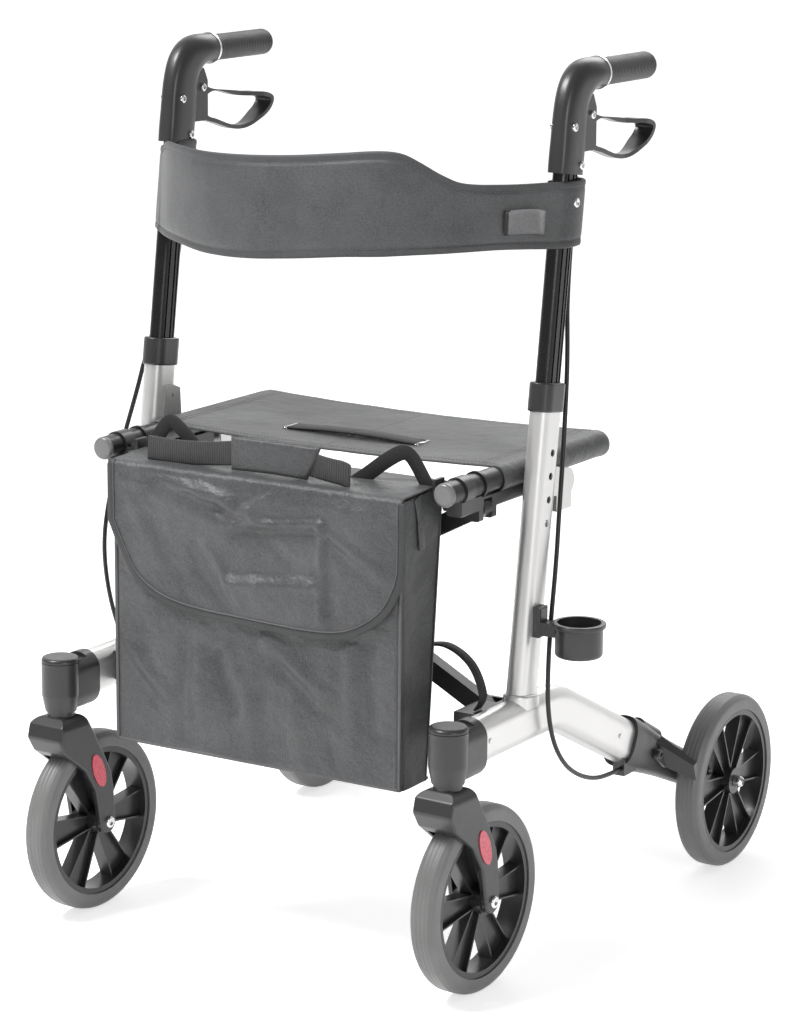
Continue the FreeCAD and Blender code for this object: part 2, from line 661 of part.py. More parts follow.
def rim(x, hub_half):
    centre = Vec(x, 0, WHEEL_R)
    outer = WHEEL_R - TYRE_DEPTH
    inner = outer - RIM_RING
    across = X_DIR * (RIM_WIDTH / 2)
    ring = rod(centre - across, centre + across, outer)
    ring = ring.cut(rod(centre - across * 2, centre + across * 2, inner))
    web = X_DIR * (RIM_WEB / 2)
    depth = X_DIR * (SPOKE_DEPTH / 2)
    pieces = [ring, rod(centre - X_DIR * hub_half, centre + X_DIR * hub_half, HUB_R)]
    root = HUB_R * 0.6
    top = inner + RIM_RING / 2
    for i in range(SPOKE_COUNT):
        turn = 360 * (i + 0.5) / SPOKE_COUNT
        foot, head = SPOKE_FOOT / 2, SPOKE_HEAD / 2
        plan = [(-foot, root), (foot, root), (head, top), (-head, top)]
        wire = Part.makePolygon([Vec(x, a, WHEEL_R + b) for a, b in plan + plan[:1]])
        spoke = Part.Face(wire).extrude(web * 2).translated(-web)
        for side in (-1, 1):
            edge = [(side * foot, root), (side * (foot - SPOKE_RIB), root),
                    (side * (head - SPOKE_RIB), top), (side * head, top)]
            wire = Part.makePolygon([Vec(x, a, WHEEL_R + b) for a, b in edge + edge[:1]])
            spoke = spoke.fuse(Part.Face(wire).extrude(depth * 2).translated(-depth))
        spoke.rotate(centre, X_DIR, turn)
        pieces.append(spoke)
    shape = pieces[0].fuse(pieces[1:])
    bore = AXLE_R + SHAFT_CLEARANCE
    shape = shape.common(rod(centre - X_DIR * hub_half, centre + X_DIR * hub_half, outer))
    return shape.cut(rod(centre - X_DIR * TYRE_WIDTH, centre + X_DIR * TYRE_WIDTH, bore)).removeSplitter()


# Caster, drawn with its stem over the line of the frame side and then turned about the stem

def caster_fork():
    points = [(y * WHEEL_R, WHEEL_R + z * (FORK_TOP - WHEEL_R)) for y, z in FORK_SHARES]
    half = FORK_GAP / 2 + FORK_ARM
    x = TRACK_HALF
    axle = Vec(x, 0, WHEEL_R)
    plate = side_plate(points, x - half, x + half)
    plate = softened(plate, FORK_EDGE * 2, lambda e: abs(e.tangentAt(e.FirstParameter).x) > 0.9
                     and e.CenterOfMass.z > WHEEL_R + FORK_BOSS_R)
    boss = rod(axle - X_DIR * half, axle + X_DIR * half, FORK_BOSS_R)
    shape = plate.fuse(boss).removeSplitter()
    arch = box(x - half, x + half, -TRAIL - WHEEL_R, TRAIL, 0, FORK_TOP)
    arch = softened(arch, FORK_SHOULDER, lambda e: abs(e.tangentAt(e.FirstParameter).y) > 0.9
                    and e.CenterOfMass.z > FORK_TOP - FORK_SHOULDER)
    shape = softened(shape, FORK_EDGE, lambda e: abs(abs(e.CenterOfMass.x - x) - half) < FORK_EDGE / 4
                     and e.Length > 0)
    shape = shape.common(arch)
    gap = X_DIR * (FORK_GAP / 2)
    shape = shape.cut(rod(axle - gap, axle + gap, WHEEL_R + FORK_ARCH))
    foot = Vec(x, -TRAIL, FORK_TOP - OVERRUN)
    shape = shape.fuse(rod(foot, Vec(x, -TRAIL, BARREL_TOP - STEM_R), STEM_R))
    shape = shape.fuse(rod(foot, Vec(x, -TRAIL, BARREL_BOTTOM), STEM_WASHER_R))
    return shape.cut(rod(axle - X_DIR * (half + OVERRUN), axle + X_DIR * (half + OVERRUN), AXLE_R))


def fork_reflectors():
    pieces = []
    half = FORK_GAP / 2 + FORK_ARM
    y, z = REFLECTOR_SHARES
    for side in (-1, 1):
        centre = Vec(TRACK_HALF + side * half, y * WHEEL_R, WHEEL_R * (1 + z))
        a = math.radians(REFLECTOR_LEAN)
        long_axis = Vec(0, math.sin(a), -math.cos(a))
        ellipse = Part.Ellipse(centre + long_axis * (REFLECTOR_LENGTH / 2),
                               centre + Vec(0, long_axis.z, -long_axis.y) * (REFLECTOR_WIDTH / 2), centre)
        face = Part.Face(Part.Wire(ellipse.toShape()))
        pieces.append(face.extrude(Vec(side * REFLECTOR_THICK, 0, 0)))
    return pieces


def front_axle():
    half = FORK_GAP / 2 + FORK_ARM
    axle = Vec(TRACK_HALF, 0, WHEEL_R)
    shape = rod(axle - X_DIR * half, axle + X_DIR * half, AXLE_R)
    for side in (-1, 1):
        shape = shape.fuse(screw_head(axle + X_DIR * (side * half), X_DIR * side, AXLE_HEAD_R, AXLE_HEAD))
    return shape


def turned(shape):
    """The left caster's pieces: turned about the stem."""
    copy = shape.copy()
    copy.rotate(Vec(TRACK_HALF, -TRAIL, 0), Z_DIR, CASTER_TURN)
    return copy


def turned_right(shape):
    """The right caster's pieces: mirrored, then turned the same way round as the left ones."""
    copy = mirrored(shape)
    copy.rotate(Vec(-TRACK_HALF, -TRAIL, 0), Z_DIR, CASTER_TURN)
    return copy


def save_casters(name, *solids):
    save(name + "_left", *[turned(s) for s in solids])
    save(name + "_right", *[turned_right(s) for s in solids])


def caster_housing():
    x = TRACK_HALF
    stem = Vec(x, -TRAIL, 0)
    foot = stem + Z_DIR * BARREL_BOTTOM
    barrel = rod(foot + Z_DIR * BARREL_TAPER, stem + Z_DIR * BARREL_TOP, BARREL_R)
    taper = Part.makeCone(BARREL_FOOT_R, BARREL_R, BARREL_TAPER, foot, Z_DIR)
    middle = BASE_Z - SLEEVE_DROP
    sleeve = oval_bar(SLEEVE_W, SLEEVE_H, Vec(x, -TRAIL, middle), Vec(x, SLEEVE_END, middle))
    sleeve = softened(sleeve, SLEEVE_EDGE, lambda e: abs(e.CenterOfMass.y - SLEEVE_END) < SLEEVE_EDGE / 4)
    shape = barrel.fuse([taper, sleeve])
    left, right, back = x - SLEEVE_H, x + SLEEVE_H, SLEEVE_END + SLEEVE_H
    keep = box(left, right, -TRAIL - SLEEVE_H, back, BARREL_BOTTOM, BARREL_TOP)
    low = box(left, right, -TRAIL + CROWN_R, back, FORK_TOP + SWING_CLEARANCE, BARREL_TOP + SLEEVE_H)
    shape = shape.common(keep.fuse(low))
    shape = shape.cut(bent_oval(BASE_W, BASE_H, BASE_START, LEG_END))
    below = stem + Z_DIR * (BARREL_BOTTOM - OVERRUN)
    shape = shape.cut(rod(below, stem + Z_DIR * (BARREL_TOP - STEM_R / 2), STEM_R + SHAFT_CLEARANCE))
    top = stem + Z_DIR * BARREL_TOP
    disc = rod(top + Z_DIR * BARREL_SEAM, top + Z_DIR * BARREL_CAP, BARREL_R)
    disc = softened(disc, BARREL_CAP_EDGE, lambda e: len(e.Vertexes) == 1
                    and e.CenterOfMass.z > BARREL_TOP + BARREL_CAP / 2)
    seam = rod(top, top + Z_DIR * BARREL_SEAM, LIP_R)
    disc = disc.cut(bent_oval(SLEEVE_W, BASE_H, BASE_START, LEG_END))
    return shape.fuse([seam, disc])


# Rear housing, wheel and brake

def rear_wheel_x():
    return TRACK_HALF + AXLE_BOSS_W / 2 + WHEEL_GAP + TYRE_WIDTH / 2 + SIDE_CLEARANCE * 6


def rear_housing():
    axle = Vec(TRACK_HALF, WHEELBASE, WHEEL_R)
    start = leg(LEG_END)
    wires = []
    for place, w, h in zip(HOUSING_PLACE_SHARES, HOUSING_WIDTH_SHARES, HOUSING_HEIGHT_SHARES):
        centre = start + (axle - start) * place
        up = Vec(0, -LEG.z, LEG.y)
        wires.append(squircle(centre, REAR_SLEEVE_W * w / 2, REAR_SLEEVE_H * h / 2, up, 2.6))
    shape = Part.makeLoft(wires, True, False)
    boss = X_DIR * (AXLE_BOSS_W / 2)
    shape = shape.fuse(rod(axle - boss, axle + boss, AXLE_BOSS_R))
    block_start = start + (axle - start) * HOUSING_PLACE_SHARES[1]
    block_end = start + (axle - start) * HOUSING_PLACE_SHARES[2]
    up = Vec(0, -LEG.z, LEG.y) * (REAR_SLEEVE_H * HOUSING_HEIGHT_SHARES[1] / 2 - HOUSING_BLOCK / 2
                                  + HOUSING_BLOCK_RISE)
    block = oval_bar(HOUSING_BLOCK * 0.8, HOUSING_BLOCK, block_start + up, block_end + up * 0.85)
    shape = shape.fuse(block)
    anchor_y = start.y - ANCHOR_FORWARD
    anchor_z = start.z - ANCHOR_DROP
    shape = shape.fuse(box(TRACK_HALF - ANCHOR_W * 0.1, TRACK_HALF + ANCHOR_W, anchor_y,
                           anchor_y + ANCHOR_LENGTH, anchor_z - ANCHOR_H / 2, anchor_z + ANCHOR_H / 2))
    shape = shape.cut(bent_oval(BASE_W, BASE_H, BASE_START, LEG_END + TUBE_SEAT))
    pivot = Vec(TRACK_HALF, BRAKE_PIVOT_Y, BRAKE_PIVOT_Z)
    shape = shape.cut(rod(pivot, pivot + X_DIR * BASE_H, PIN_R + SHAFT_CLEARANCE))
    keep = box(TRACK_HALF - BASE_H, BRAKE_PLATE_X - SIDE_CLEARANCE, pivot.y - BRAKE_ROOM,
               WHEELBASE + BASE_H * 2, 0, BASE_Z)
    front = box(TRACK_HALF - BASE_H, TRACK_HALF + BASE_H, 0, pivot.y - BRAKE_ROOM, 0, BASE_Z)
    shape = shape.common(keep.fuse(front))
    return shape.cut(rod(axle - X_DIR * AXLE_BOSS_W, axle + X_DIR * AXLE_BOSS_W, AXLE_R))


def rear_axle():
    axle = Vec(TRACK_HALF, WHEELBASE, WHEEL_R)
    inner = axle - X_DIR * (AXLE_BOSS_W / 2)
    wheel_out = rear_wheel_x() + TYRE_WIDTH / 2
    outer = Vec(wheel_out, WHEELBASE, WHEEL_R)
    shape = rod(inner, outer + X_DIR * AXLE_HEAD, AXLE_R)
    shape = shape.fuse(screw_head(inner, -X_DIR, AXLE_HEAD_R, AXLE_HEAD))
    shape = shape.fuse(screw_head(outer, X_DIR, AXLE_HEAD_R, AXLE_HEAD * 3))
    boss_face = axle + X_DIR * (AXLE_BOSS_W / 2)
    spacer = rod(boss_face, boss_face + X_DIR * WHEEL_GAP, AXLE_HEAD_R)
    return shape.fuse(spacer)


def rear_wheel(shape):
    copy = shape.copy()
    copy.translate(Vec(rear_wheel_x() - TRACK_HALF, WHEELBASE, 0))
    return copy


def brake_arm():
    pivot = Vec(BRAKE_PLATE_X, BRAKE_PIVOT_Y, BRAKE_PIVOT_Z)
    clamp = pivot + Vec(0, BRAKE_CLAMP_SHARES[0], BRAKE_CLAMP_SHARES[1]) * WHEEL_R
    axle = Vec(BRAKE_PLATE_X, WHEELBASE, WHEEL_R)

    def from_axle(share, across=0):
        return axle + X_DIR * across + Vec(0, share[0], share[1]) * WHEEL_R

    inner = WHEEL_R + SHOE_GAP
    width = rear_wheel_x() + TYRE_WIDTH / 2 - BRAKE_PLATE_X
    ends = []
    for shares, across in ((SHOE_ROOT_SHARES, 0), (SHOE_TIP_SHARES, width)):
        ends.append(Part.makePolygon([from_axle(s, across) for s in shares + shares[:1]]))
    shoe = Part.makeLoft(ends, True, True)
    plate = rod(pivot, pivot + X_DIR * BRAKE_PLATE, BRAKE_ARM_W / 2)
    for place in (clamp, from_axle(SHOE_CENTRE_SHARES)):
        direction = (place - pivot).normalize()
        across = X_DIR.cross(direction) * (BRAKE_ARM_W / 2)
        wire = Part.makePolygon([pivot + across, place + across * 0.8, place - across * 0.8, pivot - across,
                                 pivot + across])
        plate = plate.fuse(Part.Face(wire).extrude(X_DIR * BRAKE_PLATE))
    keep_out = rod(axle - X_DIR * BRAKE_PLATE, axle + X_DIR * BASE_H * 2, inner)
    plate = plate.fuse([shoe, rod(clamp, clamp + X_DIR * BRAKE_PLATE, BRAKE_ARM_W * 0.4)]).cut(keep_out)
    shape = plate.fuse(rod(pivot - X_DIR * (BRAKE_PLATE * 2), pivot, PIN_R))
    face = clamp + X_DIR * BRAKE_PLATE
    return shape, screw_head(face, X_DIR, BRAKE_SCREW_R, BRAKE_PLATE)


# Cross brace and seat rails

def brace_bar(y, left_end, right_end):
    """A hollow bar in the plane of the given y, from a low pivot to a high one."""
    start = Vec(left_end[0], y, left_end[1])
    end = Vec(right_end[0], y, right_end[1])
    along = (end - start).normalize()
    across = Y_DIR.cross(along).normalize() * (BAR_H / 2)
    half = Y_DIR * (BAR_T / 2)
    wire = Part.makePolygon([start + across, end + across, end - across, start - across, start + across])
    bar = Part.Face(wire).extrude(half * 2).translated(-half)
    ends = [rod(p - half, p + half, BAR_H / 2) for p in (start, end)]
    shape = bar.fuse(ends).removeSplitter()
    wall = BAR_H / 2 - BAR_WALL
    core_start = start + along * BAR_H
    core_end = end - along * BAR_H
    inner = across.normalize() * wall
    core_half = Y_DIR * (BAR_T / 2 - BAR_WALL)
    wire = Part.makePolygon([core_start + inner, core_end + inner, core_end - inner, core_start - inner,
                             core_start + inner])
    core = Part.Face(wire).extrude(core_half * 2).translated(-core_half)
    middle = (start + end) * 0.5
    boss = rod(middle - half, middle + half, BRACE_HEAD_R)
    shape = shape.cut(core).fuse(boss)
    play = BRACE_PIN_R + SHAFT_CLEARANCE
    for p in (start, middle, end):
        shape = shape.cut(rod(p - half * 2, p + half * 2, play))
    return shape


def brace_bolt():
    z = (BRACE_LOW_Z + BRACE_HIGH_Z) / 2
    front = BRACE_FRONT_Y - BAR_T / 2
    back = BRACE_REAR_Y + BAR_T / 2
    shape = rod(Vec(0, front, z), Vec(0, back, z), BRACE_PIN_R)
    shape = shape.fuse(screw_head(Vec(0, front, z), -Y_DIR, BRACE_HEAD_R, BRACE_HEAD))
    shape = shape.fuse(screw_head(Vec(0, back, z), Y_DIR, BRACE_HEAD_R, BRACE_HEAD))
    spacer = rod(Vec(0, BRACE_FRONT_Y + BAR_T / 2, z), Vec(0, BRACE_REAR_Y - BAR_T / 2, z), BRACE_HEAD_R)
    return shape.fuse(spacer)


def brace_bracket(bar_y):
    """The lower pivot block on the inner side of the left base tube, slotted for a bar at bar_y."""
    inner = TRACK_HALF - BASE_W / 2
    shape = box(BRACE_X - BRACKET_IN, inner + BASE_W / 4, BRACKET_Y0, BRACKET_Y1,
                BRACE_LOW_Z - BRACKET_DOWN, BRACE_LOW_Z + BRACKET_UP)
    shape = softened(shape, SLEEVE_EDGE, lambda e: e.CenterOfMass.x < BRACE_X)
    shape = shape.cut([bent_oval(BASE_W, BASE_H, BASE_START, LEG_END), weld_bead()])
    half = BAR_T / 2 + SIDE_CLEARANCE
    web = BRACE_X + BAR_H / 2 + SIDE_CLEARANCE * 2
    slot = box(BRACE_X - BRACKET_IN - OVERRUN, web, bar_y - half, bar_y + half,
               BRACE_LOW_Z - BAR_H / 2 - SIDE_CLEARANCE * 2, BRACE_LOW_Z + BRACKET_UP + OVERRUN)
    shape = shape.cut(slot)
    reach = Y_DIR * (half + BRACKET_IN / 3)
    centre = Vec(BRACE_X, bar_y, BRACE_LOW_Z)
    pin = rod(centre - reach, centre + reach, BRACE_PIN_R)
    return shape.fuse(pin)


def rail_ring_y():
    return SEAT_Y0 - RAIL_R * 3


def seat_rail():
    start = Vec(BRACE_X, RAIL_FRONT, RAIL_Z)
    end = Vec(BRACE_X, RAIL_REAR - RAIL_CAP, RAIL_Z)
    tube = rod(start, end, RAIL_R).cut(rod(start - Y_DIR, end + Y_DIR, RAIL_R - RAIL_WALL))
    caps = []
    for place, direction in ((start, -Y_DIR), (end, Y_DIR)):
        cap = rod(place, place + direction * RAIL_CAP, RAIL_R)
        tip = place + direction * RAIL_CAP
        cap = softened(cap, RAIL_CAP * 0.8, lambda e: (e.CenterOfMass - tip).Length < RAIL_CAP / 4
                       and len(e.Vertexes) == 1)
        caps.append(cap.fuse(rod(place - direction * RAIL_R, place, RAIL_R - RAIL_WALL)))
    ring_y = rail_ring_y()
    ring = rod(Vec(BRACE_X, ring_y, RAIL_Z), Vec(BRACE_X, ring_y + RAIL_RING, RAIL_Z), RAIL_R + RAIL_WALL)
    ring = ring.cut(rod(Vec(BRACE_X, ring_y - OVERRUN, RAIL_Z), Vec(BRACE_X, ring_y + 2 * OVERRUN, RAIL_Z),
                        RAIL_R))
    return [tube, ring] + caps


def rail_yoke(bar_y):
    """The black bar under a rail with the upper brace pivot, the bag hook and the round knob."""
    top = RAIL_Z - RAIL_R * 0.8
    low = BRACE_HIGH_Z - YOKE_DEEP
    yoke_low = top - YOKE_H
    half_w = YOKE_W / 2
    x0, x1 = BRACE_X - half_w, BRACE_X + half_w
    shape = box(x0, x1, YOKE_Y0, YOKE_Y1, yoke_low, top)
    half = BAR_T / 2 + SIDE_CLEARANCE
    cheeks = box(x0, x1, bar_y - half - YOKE_CHEEK, bar_y + half + YOKE_CHEEK, low, top)
    shape = shape.fuse(cheeks).removeSplitter()
    shape = softened(shape, BAR_WALL, lambda e: abs(e.tangentAt(e.FirstParameter).y) > 0.9
                     and e.CenterOfMass.z < top - BAR_WALL)
    ceiling = BRACE_HIGH_Z + BAR_H / 2 + SIDE_CLEARANCE
    shape = shape.cut(box(x0 - OVERRUN, x1 + OVERRUN, bar_y - half, bar_y + half, low - OVERRUN, ceiling))
    peg = box(BRACE_X - YOKE_W - HOOK_W / 2, BRACE_X, HOOK_Y - HOOK_T, HOOK_Y + HOOK_T, RAIL_Z - HOOK_T / 2,
              RAIL_Z + HOOK_T / 2)
    tee = box(BRACE_X - YOKE_W - HOOK_W / 2 - HOOK_T, BRACE_X - YOKE_W - HOOK_W / 2, HOOK_Y - HOOK_H / 2,
              HOOK_Y + HOOK_H / 2, RAIL_Z - HOOK_H / 2, RAIL_Z + HOOK_H / 2)
    band = rod(Vec(BRACE_X, HOOK_Y - HOOK_H / 2, RAIL_Z), Vec(BRACE_X, HOOK_Y + HOOK_H / 2, RAIL_Z),
               RAIL_R + RAIL_WALL)
    knob_z = yoke_low + YOKE_H / 2
    knob = rod(Vec(BRACE_X - YOKE_W, HOOK_Y, knob_z), Vec(BRACE_X, HOOK_Y, knob_z), KNOB_R)
    shape = shape.fuse([peg, tee, band, knob])
    rail = rod(Vec(BRACE_X, YOKE_Y0 - SLEEVE_H, RAIL_Z), Vec(BRACE_X, YOKE_Y1 + SLEEVE_H, RAIL_Z), RAIL_R)
    shape = shape.cut(rail)
    relief = Vec(BRACE_X, rail_ring_y() - SLIDE_CLEARANCE, RAIL_Z)
    shape = shape.cut(rod(relief, relief + Y_DIR * YOKE_Y1, RAIL_R + SEAT_T + SLIDE_CLEARANCE))
    reach = Y_DIR * (half + YOKE_CHEEK / 2)
    centre = Vec(BRACE_X, bar_y, BRACE_HIGH_Z)
    pin = rod(centre - reach, centre + reach, BRACE_PIN_R)
    return shape.fuse(pin)


def rail_saddle():
    inner = TRACK_HALF - UPRIGHT_W / 2
    x0 = inner - SADDLE_T
    disc = rod(Vec(x0, SADDLE_Y, BRACE_HIGH_Z + SADDLE_T), Vec(inner, SADDLE_Y, BRACE_HIGH_Z + SADDLE_T),
               SADDLE_R)
    low = BRACE_HIGH_Z
    axis_low = UPRIGHT_Y + (low - BASE_Z) * MAST.y / MAST.z
    axis_top = UPRIGHT_Y + (SADDLE_TOP - BASE_Z) * MAST.y / MAST.z
    half = SADDLE_STRIP_W / 2
    back = UPRIGHT_D / 2
    outline = [(axis_low - half, low), (SADDLE_Y, low - SADDLE_R + SADDLE_T),
               (SADDLE_Y, low + SADDLE_R + SADDLE_T), (axis_low + back + 2 * half, low + SADDLE_R * 2),
               (axis_top + back, SADDLE_TOP - half), (axis_top + half, SADDLE_TOP),
               (axis_top - half, SADDLE_TOP)]
    strip = side_plate(outline, x0, inner)
    shape = strip.fuse(disc)
    hole = Vec(x0 - OVERRUN, axis_top + back * 0.3, SADDLE_TOP - SADDLE_STRIP_W)
    shape = shape.cut(rod(hole, hole + X_DIR * (SADDLE_T + 2 * OVERRUN), BAR_WALL))
    pad_top = RAIL_Z - RAIL_R - SEAT_T
    pad = box(BRACE_X - RAIL_R, x0, PAD_Y0, PAD_Y1, pad_top - PAD_H, pad_top)
    pad = softened(pad, SEAT_T, lambda e: e.CenterOfMass.x < BRACE_X)
    return [shape, pad]


def seat_half():
    """Half of the seat cloth with its sleeve round the left rail, and half of the pull strap."""
    sleeve_r = RAIL_R + SEAT_T
    start = Vec(BRACE_X, SEAT_Y0, RAIL_Z)
    end = Vec(BRACE_X, SEAT_Y1 - RAIL_CAP, RAIL_Z)
    sleeve = rod(start, end, sleeve_r)
    top = RAIL_Z + sleeve_r
    sag = SEAT_SAG
    edge = BRACE_X

    def sheet(y0, y1, low, high, reach):
        """A strip of cloth that sags from the rail to the middle of the seat."""
        outline = []
        for lift, xs in ((high, (reach, reach / 2, 0)), (low, (0, reach / 2, reach))):
            outline.append(arc(*[Vec(x, y0, top - sag * (1 - (x / edge) ** 2) + lift) for x in xs]))
        a, b = outline
        wire = Part.Wire([a, line(a.Vertexes[-1].Point, b.Vertexes[0].Point), b,
                          line(b.Vertexes[-1].Point, a.Vertexes[0].Point)])
        return Part.Face(wire).extrude(Y_DIR * (y1 - y0))

    cloth = sheet(SEAT_Y0, SEAT_Y1 - RAIL_CAP, -SEAT_T, 0, edge)
    shape = sleeve.fuse(cloth).cut(rod(start - Y_DIR, end + Y_DIR, RAIL_R + SHAFT_CLEARANCE))
    y0 = STRAP_Y - STRAP_W / 2
    y1 = STRAP_Y + STRAP_W / 2
    low = top - sag
    rise = low + STRAP_RISE
    ends = STRAP_HALF - STRAP_STITCH
    foot = low + STRAP_T * STRAP_FOOT_SHARE
    middle = Vec(ends * STRAP_MIDDLE_SHARES[0], y0, low + STRAP_RISE * STRAP_MIDDLE_SHARES[1])
    under = [Vec(0, y0, rise), middle, Vec(ends, y0, foot)]
    over = [p + Z_DIR * STRAP_T for p in reversed(under)]
    wire = Part.Wire([arc(*under), line(under[2], over[0]), arc(*over), line(over[2], under[0])])
    arch = Part.Face(wire).extrude(Y_DIR * (y1 - y0))
    patch = sheet(y0, y1, 0, STRAP_T, STRAP_HALF)
    patch = patch.common(box(ends - STRAP_T, STRAP_HALF, y0, y1, low - sag, rise))
    return shape, arch.fuse(patch)


# Backrest and bag

def band_top(share):
    return BAND_END_TOP + (BAND_TOP - BAND_END_TOP) * share


def band_low(share):
    return BAND_END_BOTTOM + (BAND_BOTTOM - BAND_END_BOTTOM) * share


def backrest():
    """A padded band bowed forward in front of the handle posts, wrapped round them at its ends."""
    wires = []
    half_t = BAND_T / 2
    z_mid = (BAND_END_TOP + BAND_END_BOTTOM) / 2
    end_y = mast((z_mid - BASE_Z) / MAST.z, -POST_D / 2 - BAND_POST_GAP - half_t).y
    stations = []
    for share, high, deep in zip(BAND_SHARES, BAND_TOP_SHARES, BAND_LOW_SHARES):
        y = end_y - BAND_BOW * (1 - abs(share) ** BAND_POWER)
        stations.append((share * TRACK_HALF, y, band_low(deep), band_top(high)))
    for i, (x, y, low, top) in enumerate(stations):
        before = stations[max(i - 1, 0)]
        after = stations[min(i + 1, len(stations) - 1)]
        along = Vec(after[0] - before[0], after[1] - before[1], 0).normalize()
        out = along.cross(Z_DIR) * half_t
        centre = Vec(x, y, 0)
        corners = [centre + out + Z_DIR * low, centre + out + Z_DIR * top, centre - out + Z_DIR * top,
                   centre - out + Z_DIR * low]
        wires.append(Part.makePolygon(corners + corners[:1]))
    band = Part.makeLoft(wires, True, False)
    post = oval_bar(POST_W, POST_D, mast(POST_LOW), mast(BODY_LOW))
    return band.fuse([backrest_end(-1), backrest_end(1)]).cut([post, mirrored(post)])


def backrest_end(side):
    """The sleeve at one end of the band, round the handle post and the brake cable behind it."""
    station = 0 if side < 0 else len(BAND_SHARES) - 1
    low = (band_low(BAND_LOW_SHARES[station]) - BASE_Z) / MAST.z
    top = (band_top(BAND_TOP_SHARES[station]) - BASE_Z) / MAST.z
    wall = BAND_POST_GAP + BAND_T
    back = BAND_CORD_ROOM / 2
    outer = oval_bar(POST_W + 2 * wall, POST_D + 2 * wall + BAND_CORD_ROOM, mast(low, back),
                     mast(top, back))
    inner = oval_bar(POST_W, POST_D, mast(low - OVERRUN), mast(top + OVERRUN))
    cord_r = CABLE_R + CORD_ROOM
    reach = CORD_BACK + cord_r
    channel = oval_bar(2 * cord_r, reach, mast(low - OVERRUN, reach / 2), mast(top + OVERRUN, reach / 2))
    shape = outer.cut([inner, channel])
    return shape if side > 0 else mirrored(shape)


def bag():
    """The closed body of the bag, with a tab at each side that hangs on the rail's hook."""
    profile = [(BAG_FRONT, BAG_LOW), (BAG_BACK_LOW, BAG_LOW), (BAG_BACK_HIGH, BAG_HIGH),
               (BAG_FRONT, BAG_HIGH - BAG_SLOPE)]
    shape = side_plate(profile, -BAG_HALF, BAG_HALF)
    shape = softened(shape, BAG_EDGE, lambda e: e.Length > 0)
    reach = BRACE_X - YOKE_W - HOOK_W / 2 - HOOK_T - TAB_GAP
    top = BAG_HIGH - BAG_SLOPE * 0.6
    half = HOOK_H / 2
    return shape.fuse(box(-reach, reach, HOOK_Y - half, HOOK_Y + half, top - TAB_H, top))


def bag_flap():
    """A lid over the bag's top that hangs down its front with a curved lower edge."""
    gap = FLAP_GAP
    t = FLAP_T
    height = BAG_HIGH - BAG_LOW
    top = BAG_HIGH
    front = BAG_FRONT - gap
    profile = [(BAG_BACK_HIGH, top + gap), (front, top + gap - BAG_SLOPE), (front, BAG_LOW),
               (front - t, BAG_LOW), (front - t, top + gap + t - BAG_SLOPE), (BAG_BACK_HIGH, top + gap + t)]
    shape = side_plate(profile, -BAG_HALF, BAG_HALF)
    points = [Vec(x * BAG_HALF, front - 2 * t, BAG_HIGH - z * height) for x, z in FLAP_DROP_SHARES]
    curve = Part.BSplineCurve()
    curve.interpolate(points)
    low_left = Vec(-BAG_HALF, front - 2 * t, BAG_LOW - OVERRUN)
    low_right = Vec(BAG_HALF, front - 2 * t, BAG_LOW - OVERRUN)
    wire = Part.Wire([curve.toShape(), line(points[-1], low_right), line(low_right, low_left),
                      line(low_left, points[0])])
    shape = shape.cut(Part.Face(wire).extrude(Y_DIR * (4 * t)))
    return shape.fuse(carry_handle())


def carry_handle():
    """A padded band that stands on edge on the lid, with webbing down to the lid at each side."""
    z = BAG_HIGH + FLAP_GAP + FLAP_T - BAG_SLOPE
    low = z + HANDLE_RISE
    pad = box(PAD_SHIFT - PAD_HALF, PAD_SHIFT + PAD_HALF, HANDLE_Y - PAD_T / 2, HANDLE_Y + PAD_T / 2,
              low, low + PAD_H)
    pad = softened(pad, PAD_T / 3, lambda e: e.Length > 0)
    pieces = [pad]
    rise = (PAD_H - WEB_H) / 2
    for side, reach in ((-1, HANDLE_FAR), (1, HANDLE_NEAR)):
        inner = PAD_SHIFT + side * (PAD_HALF - PAD_T)
        plan = [(inner, low + rise), (side * reach, z), (side * reach, z + WEB_H),
                (inner, low + rise + WEB_H)]
        wire = Part.makePolygon([Vec(a, HANDLE_Y - WEB_T / 2, b) for a, b in plan + plan[:1]])
        pieces.append(Part.Face(wire).extrude(Y_DIR * WEB_T))
    return pieces


# Cup, webbing loop and cables

